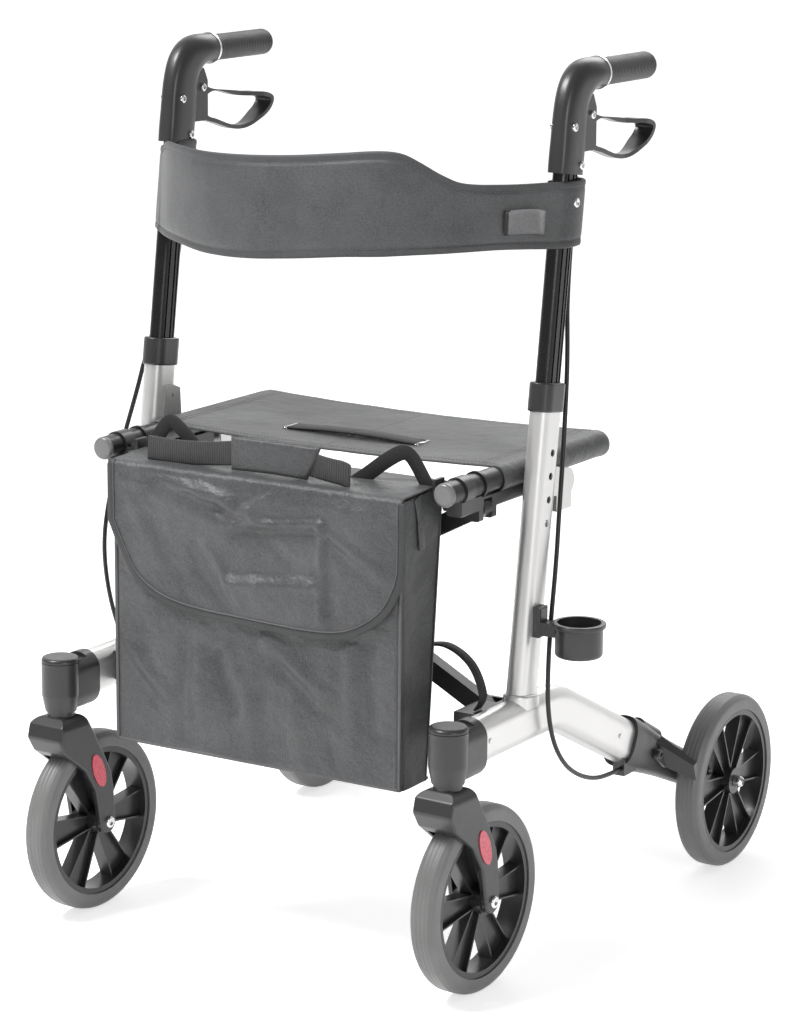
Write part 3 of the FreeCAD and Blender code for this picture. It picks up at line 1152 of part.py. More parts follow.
def cane_cup():
    base = Vec(CUP_X, CUP_Y, CUP_TOP - CUP_H)
    outer = rod(base, base + Z_DIR * CUP_H, CUP_R)
    outer = softened(outer, CUP_WALL * 2, lambda e: len(e.Vertexes) == 1
                     and e.CenterOfMass.z < CUP_TOP - CUP_H / 2)
    rim = rod(Vec(CUP_X, CUP_Y, CUP_TOP - CUP_RIM_H), Vec(CUP_X, CUP_Y, CUP_TOP), CUP_RIM_R)
    rim = softened(rim, CUP_WALL * 0.7, lambda e: len(e.Vertexes) == 1)
    shape = outer.fuse(rim)
    face = TRACK_HALF + UPRIGHT_W / 2
    axis = UPRIGHT_Y + ((CUP_BRACKET_LOW + CUP_BRACKET_TOP) / 2 - BASE_Z) * MAST.y / MAST.z
    y0, y1 = [axis + CUP_BRACKET_W * share for share in CUP_BRACKET_SHARES]
    block = box(face, face + CUP_BRACKET_T, y0, y1, CUP_BRACKET_LOW, CUP_BRACKET_TOP)
    block = softened(block, CUP_WALL, lambda e: e.CenterOfMass.x > face + CUP_BRACKET_T / 2)
    arm_top = CUP_TOP - CUP_RIM_H
    arm = box(face + CUP_BRACKET_T / 2, CUP_X - CUP_R / 2, y0, y1, arm_top - CUP_ARM_H, arm_top)
    shape = shape.fuse([block, arm])
    shape = shape.cut(rod(base + Z_DIR * CUP_WALL, base + Z_DIR * (CUP_H + OVERRUN), CUP_R - CUP_WALL))
    place = Vec(TRACK_HALF - UPRIGHT_W / 2, (y0 + y1) / 2, CUP_BRACKET_TOP - CUP_WALL * 3)
    nut = screw_head(place, -X_DIR, CUP_BOLT_R, CUP_BOLT_R)
    return [shape, nut]


def webbing_loop():
    """A flat band bent into a loop over the brace bracket on the left side."""
    base = Vec(BRACE_X + BRACKET_IN, LOOP_Y - LOOP_W / 2, BRACE_LOW_Z)
    points = [base + Vec(x * LOOP_SPAN, 0, z * LOOP_SPAN) for x, z in LOOP_SHARES]
    outer = Part.BSplineCurve()
    outer.interpolate(points)
    edge = outer.toShape()
    wire = Part.Wire(edge)
    start = points[0]
    direction = edge.tangentAt(edge.FirstParameter)
    across = direction.cross(Y_DIR).normalize() * (LOOP_T / 2)
    section = Part.makePolygon([start - across, start + across, start + across + Y_DIR * LOOP_W,
                                start - across + Y_DIR * LOOP_W, start - across])
    return wire.makePipeShell([section], True, False)


def cord_wire(points):
    """Straight runs joined by arcs that touch both: each takes up to ARC_SHARE of the shorter run."""
    corners = [Vec(*p) for p in points]
    edges = []
    radii = []
    last = corners[0]
    for i in range(1, len(corners) - 1):
        before, here, after = corners[i - 1:i + 2]
        u = (here - before).normalize()
        v = (after - here).normalize()
        turn = math.acos(max(-1, min(1, u.dot(v))))
        take = ARC_SHARE * min((here - before).Length, (after - here).Length)
        radius = take / math.tan(turn / 2)
        a = here - u * take
        b = here + v * take
        bisector = (v - u).normalize()
        middle = here + bisector * (radius / math.cos(turn / 2) - radius)
        edges += [line(last, a), arc(a, middle, b)]
        radii.append(radius)
        last = b
    edges.append(line(last, corners[-1]))
    return Part.Wire(edges), radii


def brake_cable(name, points):
    wire, radii = cord_wire(points)
    start = wire.Vertexes[0].Point
    direction = Vec(*points[1]) - Vec(*points[0])
    section = Part.Wire(Part.Circle(start, direction, CABLE_R).toShape())
    shape = wire.makePipeShell([section], True, False)
    ideal = math.pi * CABLE_R ** 2 * wire.Length
    print(name, "length", round(wire.Length, 1), "volume share", round(shape.Volume / ideal, 4))
    print(name, "radii", [round(r) for r in radii])
    return shape


def main():
    os.makedirs("parts", exist_ok=True)
    save_pair("base_tube", base_tube())
    save_pair("upright", upright())
    save_pair("collar", collar())
    save_pair("handle_post", handle_post())
    save_pair("height_button", height_button())
    save_pair("handle_body", handle_body())
    save_pair("grip", grip())
    save_pair("brake_lever", brake_lever())
    save_pair("handle_screws", *handle_screws(), grip_ring())
    save_pair("caster_housing", caster_housing())
    save_casters("caster_fork", caster_fork())
    save_casters("fork_reflectors", *fork_reflectors())
    save_casters("front_axle", front_axle())
    save_casters("front_tyre", tyre(TRACK_HALF))
    save_casters("front_rim", rim(TRACK_HALF, FORK_GAP / 2 - SIDE_CLEARANCE))
    save_pair("rear_housing", rear_housing())
    save_pair("rear_axle", rear_axle())
    save_pair("rear_tyre", rear_wheel(tyre(TRACK_HALF)))
    save_pair("rear_rim", rear_wheel(rim(TRACK_HALF, TYRE_WIDTH / 2 - SIDE_CLEARANCE)))
    save_pair("brake_arm", *brake_arm())
    save("brace_bar_rear", brace_bar(BRACE_REAR_Y, (BRACE_X, BRACE_LOW_Z), (-BRACE_X, BRACE_HIGH_Z)))
    save("brace_bar_front", brace_bar(BRACE_FRONT_Y, (BRACE_X, BRACE_HIGH_Z), (-BRACE_X, BRACE_LOW_Z)))
    save("brace_bolt", brace_bolt())
    save("brace_bracket_left", brace_bracket(BRACE_REAR_Y))
    save("brace_bracket_right", mirrored(brace_bracket(BRACE_FRONT_Y)))
    save_pair("seat_rail", *seat_rail())
    save("rail_yoke_left", rail_yoke(BRACE_FRONT_Y))
    save("rail_yoke_right", mirrored(rail_yoke(BRACE_REAR_Y)))
    save_pair("rail_saddle", *rail_saddle())
    save_pair("seat_half", *seat_half())
    save("backrest", backrest())
    save("bag", bag())
    save("bag_flap", bag_flap())
    save("cane_cup", *cane_cup())
    save("webbing_loop", webbing_loop())
    save("brake_cable_left", brake_cable("left cable", CABLE_LEFT))
    save("brake_cable_right", brake_cable("right cable", CABLE_RIGHT))


main()
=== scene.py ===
import math

import bmesh
import bpy
from mathutils import Matrix, Vector, noise
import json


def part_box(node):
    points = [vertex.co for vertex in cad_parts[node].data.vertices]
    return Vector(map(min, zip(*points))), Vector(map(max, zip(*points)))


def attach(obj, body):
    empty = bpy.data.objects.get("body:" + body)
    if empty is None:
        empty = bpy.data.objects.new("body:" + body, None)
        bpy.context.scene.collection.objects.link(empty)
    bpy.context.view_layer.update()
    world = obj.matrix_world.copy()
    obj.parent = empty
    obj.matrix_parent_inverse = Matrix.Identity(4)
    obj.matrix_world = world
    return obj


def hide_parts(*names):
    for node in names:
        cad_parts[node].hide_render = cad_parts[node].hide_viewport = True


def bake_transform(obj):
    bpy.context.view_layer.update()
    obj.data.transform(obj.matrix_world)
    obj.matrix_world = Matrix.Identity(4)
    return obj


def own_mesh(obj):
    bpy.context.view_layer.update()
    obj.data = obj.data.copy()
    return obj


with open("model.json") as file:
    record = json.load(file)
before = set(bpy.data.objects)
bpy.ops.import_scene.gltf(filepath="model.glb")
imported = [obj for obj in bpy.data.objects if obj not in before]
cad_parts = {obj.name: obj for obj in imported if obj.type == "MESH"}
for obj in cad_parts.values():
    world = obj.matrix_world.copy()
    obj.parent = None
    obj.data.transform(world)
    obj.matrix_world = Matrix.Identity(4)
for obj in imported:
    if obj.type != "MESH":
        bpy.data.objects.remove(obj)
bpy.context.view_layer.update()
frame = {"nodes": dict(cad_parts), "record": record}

MM = 0.001

# Bands of a wave texture in each metre at scale 1
WAVE_TURNS = 3.18

# Vertices this near each other become one, in metres: in a new piece, and between joined sheets
SAME_PLACE = 0.00001
SEAM = 0.0001

SIDES = (("left", 1), ("right", -1))

# Camera of the photograph
CAMERA_PLACE = Vector((1.9469, -2.8970, 1.2638))
CAMERA_AZIMUTH = 31.81
CAMERA_ELEVATION = 12.7
CAMERA_ROLL = 0.38
FOCAL_PIXELS = 3422
PHOTO_LONG_SIDE = 1024
SENSOR = 36

# Places shared with the CAD model, in millimetres
TRACK_HALF = 245
RAIL_X = 213.4
RAIL_Z = 522.1
RAIL_R = 12.5
RAIL_CAP_FRONT = -8.1
UPRIGHT_Y = 93.9
BASE_Z = 267.5
LEAN = math.radians(7.9)
BAG_HALF = 182
BAG_FRONT = -38
BAG_BACK_LOW = 22
BAG_BACK_HIGH = 50
BAG_LOW = 210
BAG_HIGH = 521
BAG_SLOPE = 4
FLAP_GAP = 0.5
FLAP_T = 2.5

# The cables' routes, as in the CAD model
CABLE_R = 2.5
CABLE_LEFT = [(245, 195.3, 826.5), (245, 179.8, 715), (249, 177, 642), (250.5, 172, 592), (254, 162, 540),
              (259, 147, 487), (263.5, 134, 430), (266, 120, 372), (267.5, 113, 320), (268, 113, 276),
              (268, 126, 238), (266, 153, 208), (263, 187, 187), (260, 225, 172), (257, 262, 164),
              (253.5, 305, 161)]
CABLE_RIGHT = [(-245, 195.3, 826.5), (-245, 179.8, 715), (-252.5, 173, 676), (-260, 157, 640),
               (-264.5, 141, 602), (-273, 133, 556), (-284, 129, 517), (-291, 119, 475), (-296, 109, 433),
               (-298, 102, 392), (-297.5, 103.5, 352), (-294, 111, 308), (-288, 123, 268), (-281, 140, 236),
               (-273, 166, 209), (-266, 199, 187), (-260, 234, 172), (-256, 268, 164), (-253.5, 305, 161)]

# The seat's cloth in millimetres, and its pull strap, in places across and heights above the cloth
SEAT_T = 1.8
SEAT_SAG = 5
SLEEVE_R = RAIL_R + 1.1
SLEEVE_TURN = math.radians(200)
SLEEVE_SHARE = 0.18
STRAP_Y = 158.5
STRAP_END = 82
STRAP_W = 25
STRAP_T = 2
STRAP_LIFTS = ((0, 5.2), (20, 5.0), (40, 4.4), (60, 3.2), (72, 2.3), (STRAP_END, 1.9))

# The backrest's outline: shares of half the track, and of how far its edges stand beyond the near end's
BAND_BOW = 112
BAND_POWER = 2.6
BAND_TOP = 857
BAND_BOTTOM = 733
BAND_END_TOP = 825
BAND_END_BOTTOM = 757
BAND_MID = 791
BAND_FRONT = 21
BAND_HEM = 8
BAND_SCREW_Z = 803
BAND_HALF_T = 4.6
BAND_RIM_HALF_T = 2.3
BAND_SHARES = (-1.0, -0.9, -0.7, -0.5, -0.25, 0.0, 0.25, 0.41, 0.5, 0.57, 0.65, 0.72, 0.85, 1.0)
BAND_TOP_SHARES = (0.12, 0.44, 0.53, 0.52, 0.58, 0.7, 0.89, 1.0, 0.94, 0.67, 0.28, 0.03, -0.03, 0.0)
BAND_LOW_SHARES = (0.75, 0.85, 0.88, 0.98, 0.93, 0.72, 0.46, 0.36, 0.28, 0.22, 0.16, 0.1, 0.0, 0.0)

# How each end goes round its post, seen from above, from the post's axis
BAND_WRAP = [(-9, -31.5), (0, -22.5), (8, -13), (12.6, -2), (13.2, 10), (11, 21), (4.5, 27), (-4, 27.5),
             (-10.5, 21), (-12.8, 10), (-13, -4), (-12, -14)]
BAND_WRAP_STATIONS = 36

# The padded loop on the band's near end, and how far its left end is painted black as shade
LOOP_X = 209
LOOP_W = 33
LOOP_Z = 773
LOOP_H = 25
LOOP_OUT = 8.4
LOOP_HALF_T = 5.4
LOOP_PAINTED_SHADE = 10

# The bag's soft shape: the share of each half of its walls that the long wall takes, its rounded corners,
# where the flap's bound edge starts, and the flap's lower edge as shares of the bag's half width and height
BAG_LONG_SHARE = 0.8
BAG_CORNER_R = 9
FLAP_SIDE_START = 0.56
FLAP_DROP_SHARES = [(-1.0, 0.2), (-0.92, 0.29), (-0.82, 0.385), (-0.64, 0.45), (-0.4, 0.478), (0.0, 0.488),
                    (0.35, 0.494), (0.6, 0.482), (0.77, 0.44), (0.9, 0.375), (0.975, 0.29), (1.0, 0.225)]

# Creases from one place to another, with a height and a width, and how far they may stand out or in
CREASE_GAIN = 1.3
CREASE_MOST = 5.6
BODY_CREASE_DEPTH = 8.0
FLAP_CREASE_DEPTH = 2.6
FLAP_CREASES = [((-150, 500), (-40, 476), 3.0, 24), ((120, 505), (150, 450), 2.6, 26),
                ((0, 396), (70, 398), 2.4, 18), ((-120, 440), (-90, 410), -1.8, 24),
                ((-124, 513), (-58, 500), 3.0, 8), ((-58, 500), (3, 480), 3.2, 8),
                ((-115, 500), (-40, 482), -2.4, 8), ((-40, 482), (0, 466), -2.0, 7),
                ((-21, 469), (86, 482), 2.6, 5), ((-21, 460), (80, 470), -1.6, 6),
                ((86, 480), (86, 382), 2.4, 4.5), ((95, 470), (96, 390), -1.6, 6),
                ((-17, 488), (15, 512), -2.4, 5), ((-4, 486), (28, 510), 1.8, 6),
                ((86, 477), (164, 437), 2.4, 6), ((96, 462), (160, 425), -1.6, 7),
                ((-30, 404), (90, 417), 2.4, 7), ((-25, 418), (80, 430), -1.6, 7),
                ((-71, 437), (-30, 380), -3.0, 9), ((-55, 440), (-15, 385), 1.8, 8),
                ((-150, 470), (-120, 420), 1.8, 10), ((20, 455), (60, 432), -1.6, 8)]
BODY_CREASES = [((-10, 330), (-4, 250), 3.0, 20), ((-130, 310), (-60, 262), 2.6, 20),
                ((-120, 250), (-60, 226), -2.4, 16), ((110, 330), (60, 250), 2.4, 20),
                ((-47, 321), (-26, 268), -6.0, 9), ((-33, 330), (-8, 268), 3.6, 9),
                ((-88, 329), (-93, 230), -4.4, 9), ((-72, 320), (-70, 245), 3.2, 9),
                ((19, 345), (91, 297), 3.6, 10), ((30, 322), (92, 280), -2.8, 9),
                ((-156, 312), (-114, 269), 3.2, 9), ((-160, 296), (-126, 258), -2.2, 8),
                ((141, 363), (150, 269), -3.4, 9), ((120, 350), (124, 250), 2.8, 10),
                ((10, 290), (14, 225), -2.8, 10), ((48, 275), (60, 222), 2.8, 10),
                ((-140, 340), (-132, 300), -2.4, 9), ((88, 262), (104, 224), -2.4, 9)]

# The straps from the bag's upper corners over the rails' hooks, and their tails down the bag's sides
HOOK_STRAP = ((84, 14, 512), (104, 16, 526), (126, 19, 543), (143, 22, 553),
              (152, 23, 551), (160, 23, 542), (170, 22, 528), (176, 22, 518))
HOOK_STRAP_TAIL = ((-10, 516), (-6, 505), (-3, 492), (-1, 476), (1, 460))

# The carry handle: its row, how far its webbing reaches each way, and its pad
HANDLE_Y = -20
HANDLE_FAR = 150
HANDLE_NEAR = 107
PAD_SHIFT = 9
PAD_HALF = 49
PAD_H = 36
WEB_H = 25

# Webbing at the brace bracket
WEBBING_FOOT = (224.4, 45, 272)
WEBBING_SPAN = 80
WEBBING_SHARES = ((-0.02, 0.19), (0.06, 0.4), (-0.12, 0.78), (-0.5, 0.98), (-0.95, 0.9))

# Lamps: name, place, target, size in metres and power in watts
LAMPS = (("key_light", (-1.5, -1.7, 4.0), (0, 0, 0.4), 1.3, 165),
         ("side_light", (3.8, -1.8, 1.6), (0, 0.2, 0.4), 1.4, 34),
         ("back_light", (-0.6, 3.4, 3.0), (0, 0.2, 0.5), 2.0, 40))
WORLD_STRENGTH = 0.27
FLOOR_GLOW = 0.6


# Camera first

def make_camera():
    """The camera that took the photograph, solved from matched points."""
    data = bpy.data.cameras.new("camera")
    camera = bpy.data.objects.new("camera", data)
    bpy.context.scene.collection.objects.link(camera)
    data.sensor_width = SENSOR
    data.lens = FOCAL_PIXELS / PHOTO_LONG_SIDE * SENSOR
    data.clip_start = 0.1
    data.clip_end = 50
    turn = Matrix.Rotation(math.radians(CAMERA_AZIMUTH), 4, "Z")
    dip = Matrix.Rotation(math.radians(90 - CAMERA_ELEVATION), 4, "X")
    roll = Matrix.Rotation(math.radians(CAMERA_ROLL), 4, "Z")
    camera.matrix_world = Matrix.Translation(CAMERA_PLACE) @ turn @ dip @ roll
    bpy.context.scene.camera = camera


# Materials

class Nodes:
    """A small builder for node materials."""

    def __init__(self, name):
        self.material = bpy.data.materials.new(name)
        self.material.use_nodes = True
        self.tree = self.material.node_tree
        self.shader = self.tree.nodes["Principled BSDF"]
        coords = self.tree.nodes.new("ShaderNodeTexCoord")
        self.object_coords = coords.outputs["Object"]
        self.uv = coords.outputs["UV"]

    def set(self, **values):
        """Constants on the shader, named as its sockets are, with _ for a space."""
        for key, value in values.items():
            self.shader.inputs[key.replace("_", " ")].default_value = value
        return self

    def link(self, a, b):
        self.tree.links.new(a, b)

    def noise(self, scale, detail=2, rough=0.5):
        """Cloudy variation in the object's own coordinates."""
        node = self.tree.nodes.new("ShaderNodeTexNoise")
        node.inputs["Scale"].default_value = scale
        node.inputs["Detail"].default_value = detail
        node.inputs["Roughness"].default_value = rough
        self.link(self.object_coords, node.inputs["Vector"])
        return node.outputs["Fac"]

    def bands(self, pitch, direction, vector=None):
        """Straight bands that repeat at the pitch in metres."""
        node = self.tree.nodes.new("ShaderNodeTexWave")
        node.wave_type = "BANDS"
        node.bands_direction = direction
        node.inputs["Scale"].default_value = 1 / pitch / WAVE_TURNS
        self.link(vector or self.object_coords, node.inputs["Vector"])
        return node.outputs["Fac"]

    def ramp(self, source, low, high, at=(0.3, 0.7)):
        """From one colour to another between two places on the source's range."""
        node = self.tree.nodes.new("ShaderNodeValToRGB")
        for element, place, colour in zip(node.color_ramp.elements, at, (low, high)):
            element.position = place
            element.color = (*colour, 1)
        self.link(source, node.inputs["Fac"])
        return node.outputs["Color"]

    def scalar(self, source, low, high):
        """The source's 0 to 1 spread over another range."""
        node = self.tree.nodes.new("ShaderNodeMapRange")
        node.inputs["To Min"].default_value = low
        node.inputs["To Max"].default_value = high
        self.link(source, node.inputs["Value"])
        return node.outputs["Result"]

    def bump(self, *layers):
        """Each layer is (height, strength, distance in metres)."""
        last = None
        for height, strength, distance in layers:
            node = self.tree.nodes.new("ShaderNodeBump")
            node.inputs["Strength"].default_value = strength
            node.inputs["Distance"].default_value = distance
            self.link(height, node.inputs["Height"])
            if last:
                self.link(last, node.inputs["Normal"])
            last = node.outputs["Normal"]
        self.link(last, self.shader.inputs["Normal"])
        return self

    def colour(self, socket):
        self.link(socket, self.shader.inputs["Base Color"])
        return self

    def rough(self, socket):
        self.link(socket, self.shader.inputs["Roughness"])
        return self

    def math(self, operation, a, b):
        """A sum or product of two sockets, or of a socket and a number."""
        node = self.tree.nodes.new("ShaderNodeMath")
        node.operation = operation
        for socket, value in zip(node.inputs, (a, b)):
            if isinstance(value, (int, float)):
                socket.default_value = value
            else:
                self.link(value, socket)
        return node.outputs["Value"]

    def shown_white(self, strength):
        """Light given off only towards the camera, mirrors and glass, which leaves the shadows visible."""
        rays = self.tree.nodes.new("ShaderNodeLightPath").outputs
        seen = self.math("ADD", rays["Is Camera Ray"], rays["Is Glossy Ray"])
        seen = self.math("ADD", seen, rays["Is Transmission Ray"])
        self.link(self.math("MULTIPLY", seen, strength), self.shader.inputs["Emission Strength"])
        self.shader.inputs["Emission Color"].default_value = (1, 1, 1, 1)
        return self


def shade(colour, factor):
    """The colour made darker or lighter."""
    return tuple(c * factor for c in colour)


def satin_metal(name, colour, rough, metallic):
    """Anodised or painted tube, with a faint cloud in its tone and its gloss."""
    n = Nodes(name).set(Metallic=metallic)
    cloud = n.noise(9, 3)
    fine = n.noise(900, 2)
    n.colour(n.ramp(cloud, shade(colour, 0.95), colour))
    n.rough(n.scalar(n.noise(60, 4), rough - 0.05, rough + 0.06))
    return n.bump((fine, 0.05, 0.0002)).material


def moulded_plastic(name, colour, rough, coat=0.0):
    """Moulded plastic with a fine spark-eroded grain."""
    n = Nodes(name).set(Coat_Weight=coat, Coat_Roughness=0.22)
    n.colour(n.ramp(n.noise(14, 4), shade(colour, 0.85), shade(colour, 1.15)))
    n.rough(n.scalar(n.noise(45, 3), rough - 0.06, rough + 0.08))
    return n.bump((n.noise(1500, 2, 0.6), 0.22, 0.00025)).material


def polished_metal(name, colour, rough):
    """Bright plated steel, a little smeared."""
    n = Nodes(name).set(Metallic=1.0)
    n.colour(n.ramp(n.noise(40, 2), shade(colour, 0.9), colour))
    n.rough(n.scalar(n.noise(200, 3), rough, rough + 0.12))
    return n.material


def ribbed_rubber(name, colour, pitch, depth, direction, rough):
    """Rubber with fine ribs that stand at the given pitch and depth in metres along one axis."""
    n = Nodes(name)
    n.colour(n.ramp(n.noise(18, 5, 0.6), shade(colour, 0.88), shade(colour, 1.1)))
    n.rough(n.scalar(n.noise(80, 4), rough - 0.08, rough + 0.08))
    return n.bump((n.bands(pitch, direction), 0.7, depth), (n.noise(900, 3), 0.2, 0.0003)).material


def reflector(name):
    """Clear red plastic over small reflecting cells."""
    n = Nodes(name).set(Coat_Weight=0.7, Coat_Roughness=0.05, IOR=1.5)
    cells = n.tree.nodes.new("ShaderNodeTexVoronoi")
    cells.inputs["Scale"].default_value = 520
    n.link(n.object_coords, cells.inputs["Vector"])
    n.colour(n.ramp(cells.outputs["Distance"], (0.86, 0.06, 0.12), (0.66, 0.022, 0.062)))
    n.rough(n.scalar(n.noise(100, 2), 0.16, 0.24))
    return n.bump((cells.outputs["Distance"], 0.1, 0.0004)).material


def woven(name, colour, pitch, rough, contrast=0.45, sheen=0.15, crumple=0.001):
    """A weave with threads at the given pitch in metres along the UV map, lighter and darker specks, and
    soft dents of the depth crumple in metres."""
    n = Nodes(name).set(Sheen_Weight=sheen, Sheen_Roughness=0.4)
    weave = n.math("MULTIPLY", n.bands(pitch, "X", n.uv), n.bands(pitch, "Y", n.uv))
    specks = n.noise(520, 3, 0.75)
    cloud = n.noise(13, 5, 0.65)
    fuzz = n.noise(150, 3)
    dents = n.noise(26, 5, 0.6)
    blend = n.math("ADD", n.math("MULTIPLY", weave, 0.12), n.math("MULTIPLY", specks, 0.62))
    blend = n.math("ADD", blend, n.math("MULTIPLY", cloud, 0.5))
    n.colour(n.ramp(blend, shade(colour, 1 - contrast), shade(colour, 1 + contrast), (0.42, 0.78)))
    n.rough(n.scalar(specks, rough - 0.08, rough + 0.1))
    return n.bump((weave, 0.3, pitch * 0.3), (fuzz, 0.4, 0.0006), (dents, 0.7, crumple)).material


def ribbed_webbing(name, colour, pitch):
    """Webbing with ribs across its length."""
    n = Nodes(name)
    ribs = n.bands(pitch, "X", n.uv)
    worn = n.math("MULTIPLY", ribs, n.noise(300, 3, 0.7))
    n.colour(n.ramp(worn, shade(colour, 0.6), shade(colour, 1.4), (0, 0.6)))
    n.rough(n.scalar(n.noise(200, 3), 0.5, 0.66))
    return n.bump((ribs, 0.6, pitch * 0.25)).material


def make_materials():
    """Every finish, by the name of its slot or of the new piece that has it."""
    plastic = (0.03, 0.03, 0.032)
    cloth = (0.088, 0.090, 0.093)
    thread = 0.0012
    return {
        "frame_silver": satin_metal("frame_silver", (0.80, 0.795, 0.785), 0.34, 0.7),
        "plate_silver": satin_metal("plate_silver", (0.62, 0.62, 0.61), 0.32, 0.9),
        "post_black": satin_metal("post_black", (0.045, 0.045, 0.047), 0.26, 0.85),
        "brace_black": satin_metal("brace_black", (0.033, 0.033, 0.035), 0.36, 0.3),
        "rail_black": satin_metal("rail_black", (0.026, 0.026, 0.028), 0.32, 0.3),
        "bright_steel": polished_metal("bright_steel", (0.82, 0.82, 0.82), 0.12),
        "dark_plastic": moulded_plastic("dark_plastic", plastic, 0.4, 0.35),
        "rim_black": moulded_plastic("rim_black", (0.024, 0.024, 0.026), 0.36, 0.3),
        "rail_cap_grey": moulded_plastic("rail_cap_grey", (0.2, 0.2, 0.198), 0.3, 0.4),
        "cable_black": moulded_plastic("cable_black", (0.012, 0.012, 0.013), 0.36),
        "thread_grey": moulded_plastic("thread_grey", (0.14, 0.14, 0.145), 0.7),
        "piping_grey": moulded_plastic("piping_grey", (0.135, 0.135, 0.14), 0.5),
        "reflector_red": reflector("reflector_red"),
        "grip_rubber": ribbed_rubber("grip_rubber", (0.04, 0.04, 0.042), 0.0032, 0.0005, "Y", 0.45),
        "tyre_grey": ribbed_rubber("tyre_grey", (0.215, 0.215, 0.213), 0.005, 0.0006, "X", 0.45),
        "cloth_charcoal": woven("cloth_charcoal", cloth, thread, 0.42),
        "bag_charcoal": woven("bag_charcoal", cloth, thread, 0.38, contrast=0.5, crumple=0.007),
        # Painted shade: the bag's side panels get its cloth made darker, standing for the shade on the walls
        # that face sideways
        "bag_side_painted_shade": woven("bag_side_painted_shade", shade(cloth, 0.72), thread, 0.5, sheen=0.1, crumple=0.006),
        "seat_charcoal": woven("seat_charcoal", shade(cloth, 0.85), 0.0010, 0.45, contrast=0.6,
                               crumple=0.004),
        "hem_charcoal": woven("hem_charcoal", shade(cloth, 0.84), thread, 0.55, contrast=0.3),
        "binding_charcoal": woven("binding_charcoal", shade(cloth, 0.62), thread, 0.55, contrast=0.3),
        "loop_grey": woven("loop_grey", (0.19, 0.19, 0.195), thread, 0.6, contrast=0.3),
        "webbing_black": woven("webbing_black", (0.018, 0.018, 0.019), 0.0018, 0.6, contrast=0.35,
                               sheen=0.05),
        "webbing_ribbed": ribbed_webbing("webbing_ribbed", (0.062, 0.062, 0.064), 0.0028),
    }


def second_material(obj, material, chosen):
    """Give the faces that chosen(centre, normal) picks another material."""
    obj.data.materials.append(material)
    index = len(obj.data.materials) - 1
    for face in obj.data.polygons:
        if chosen(face.center, face.normal):
            face.material_index = index


def dress_nodes(materials):
    """Give every carried CAD node the material of its slot."""
    slots = {s["node"]: s["material_slot"] for s in frame["record"]["subparts"]}
    for name, obj in frame["nodes"].items():
        obj.data.materials.clear()
        obj.data.materials.append(materials[slots[name]])
        if name.startswith("seat_rail_"):
            second_material(obj, materials["rail_cap_grey"], lambda c, n: c.y < RAIL_CAP_FRONT * MM)


# Mesh helpers

def mm(x, y, z):
    """A place given in millimetres, in metres."""
    return Vector((x * MM, y * MM, z * MM))


def finish_mesh(name, bm, material):
    """A smooth-shaded object from bm, with its faces turned outwards."""
    bmesh.ops.recalc_face_normals(bm, faces=bm.faces)
    mesh = bpy.data.meshes.new(name)
    bm.to_mesh(mesh)
    bm.free()
    for face in mesh.polygons:
        face.use_smooth = True
    mesh.materials.append(material)
    obj = bpy.data.objects.new(name, mesh)
    bpy.context.scene.collection.objects.link(obj)
    return obj


def apply_modifiers(obj):
    """Keep what the object's modifiers make of it as its own mesh."""
    graph = bpy.context.evaluated_depsgraph_get()
    mesh = bpy.data.meshes.new_from_object(obj.evaluated_get(graph))
    obj.modifiers.clear()
    obj.data = mesh


def shaped_grid(name, columns, rows, position, texture, material, merged=False, capped=False):
    """A grid whose vertex (i, j) goes to position(i, j) in metres, with texture(i, j) as its UV."""
    bm = bmesh.new()
    layer = bm.loops.layers.uv.new("UVMap")
    bmesh.ops.create_grid(bm, x_segments=columns, y_segments=rows, size=0.5)
    cells = {v: (round((v.co.x + 0.5) * columns), round((v.co.y + 0.5) * rows)) for v in bm.verts}
    for face in bm.faces:
        for loop in face.loops:
            loop[layer].uv = texture(*cells[loop.vert])
    for vert, cell in cells.items():
        vert.co = position(*cell)
    if merged:
        bmesh.ops.remove_doubles(bm, verts=bm.verts, dist=SAME_PLACE)
    if capped:
        bmesh.ops.holes_fill(bm, edges=[e for e in bm.edges if e.is_boundary], sides=0)
    return finish_mesh(name, bm, material)


def line_length(points):
    """The length of a line through points."""
    return sum((b - a).length for a, b in zip(points, points[1:]))


def grid(name, columns, rows, place, material, thick=0.0, merged=False):
    """A sheet from place(u, v) in millimetres with u, v from 0 to 1, and UVs in metres along it."""
    samples = 40
    width = line_length([mm(*place(k / samples, 0.5)) for k in range(samples + 1)])
    height = line_length([mm(*place(0.5, k / samples)) for k in range(samples + 1)])
    obj = shaped_grid(name, columns, rows, lambda i, j: mm(*place(i / columns, j / rows)),
                      lambda i, j: (width * i / columns, height * j / rows), material, merged)
    if thick:
        solid = obj.modifiers.new("thick", "SOLIDIFY")
        solid.thickness = thick * MM
        solid.offset = 0
        apply_modifiers(obj)
    return obj


def join(name, objects):
    """One object from several, which go, with each face's material kept."""
    bm = bmesh.new()
    materials = []
    bm.loops.layers.uv.new("UVMap")
    for obj in objects:
        index = []
        for material in obj.data.materials:
            if material not in materials:
                materials.append(material)
            index.append(materials.index(material))
        start = len(bm.faces)
        bm.from_mesh(obj.data)
        bm.faces.ensure_lookup_table()
        for face in bm.faces[start:]:
            face.material_index = index[face.material_index]
        mesh = obj.data
        bpy.data.objects.remove(obj)
        bpy.data.meshes.remove(mesh)
    mesh = bpy.data.meshes.new(name)
    bm.to_mesh(mesh)
    bm.free()
    for material in materials:
        mesh.materials.append(material)
    joined = bpy.data.objects.new(name, mesh)
    bpy.context.scene.collection.objects.link(joined)
    return joined


def weld(obj):
    """Close the seams between joined sheets."""
    bm = bmesh.new()
    bm.from_mesh(obj.data)
    bmesh.ops.remove_doubles(bm, verts=bm.verts, dist=SEAM)
    bmesh.ops.recalc_face_normals(bm, faces=bm.faces)
    bm.to_mesh(obj.data)
    bm.free()
    return obj


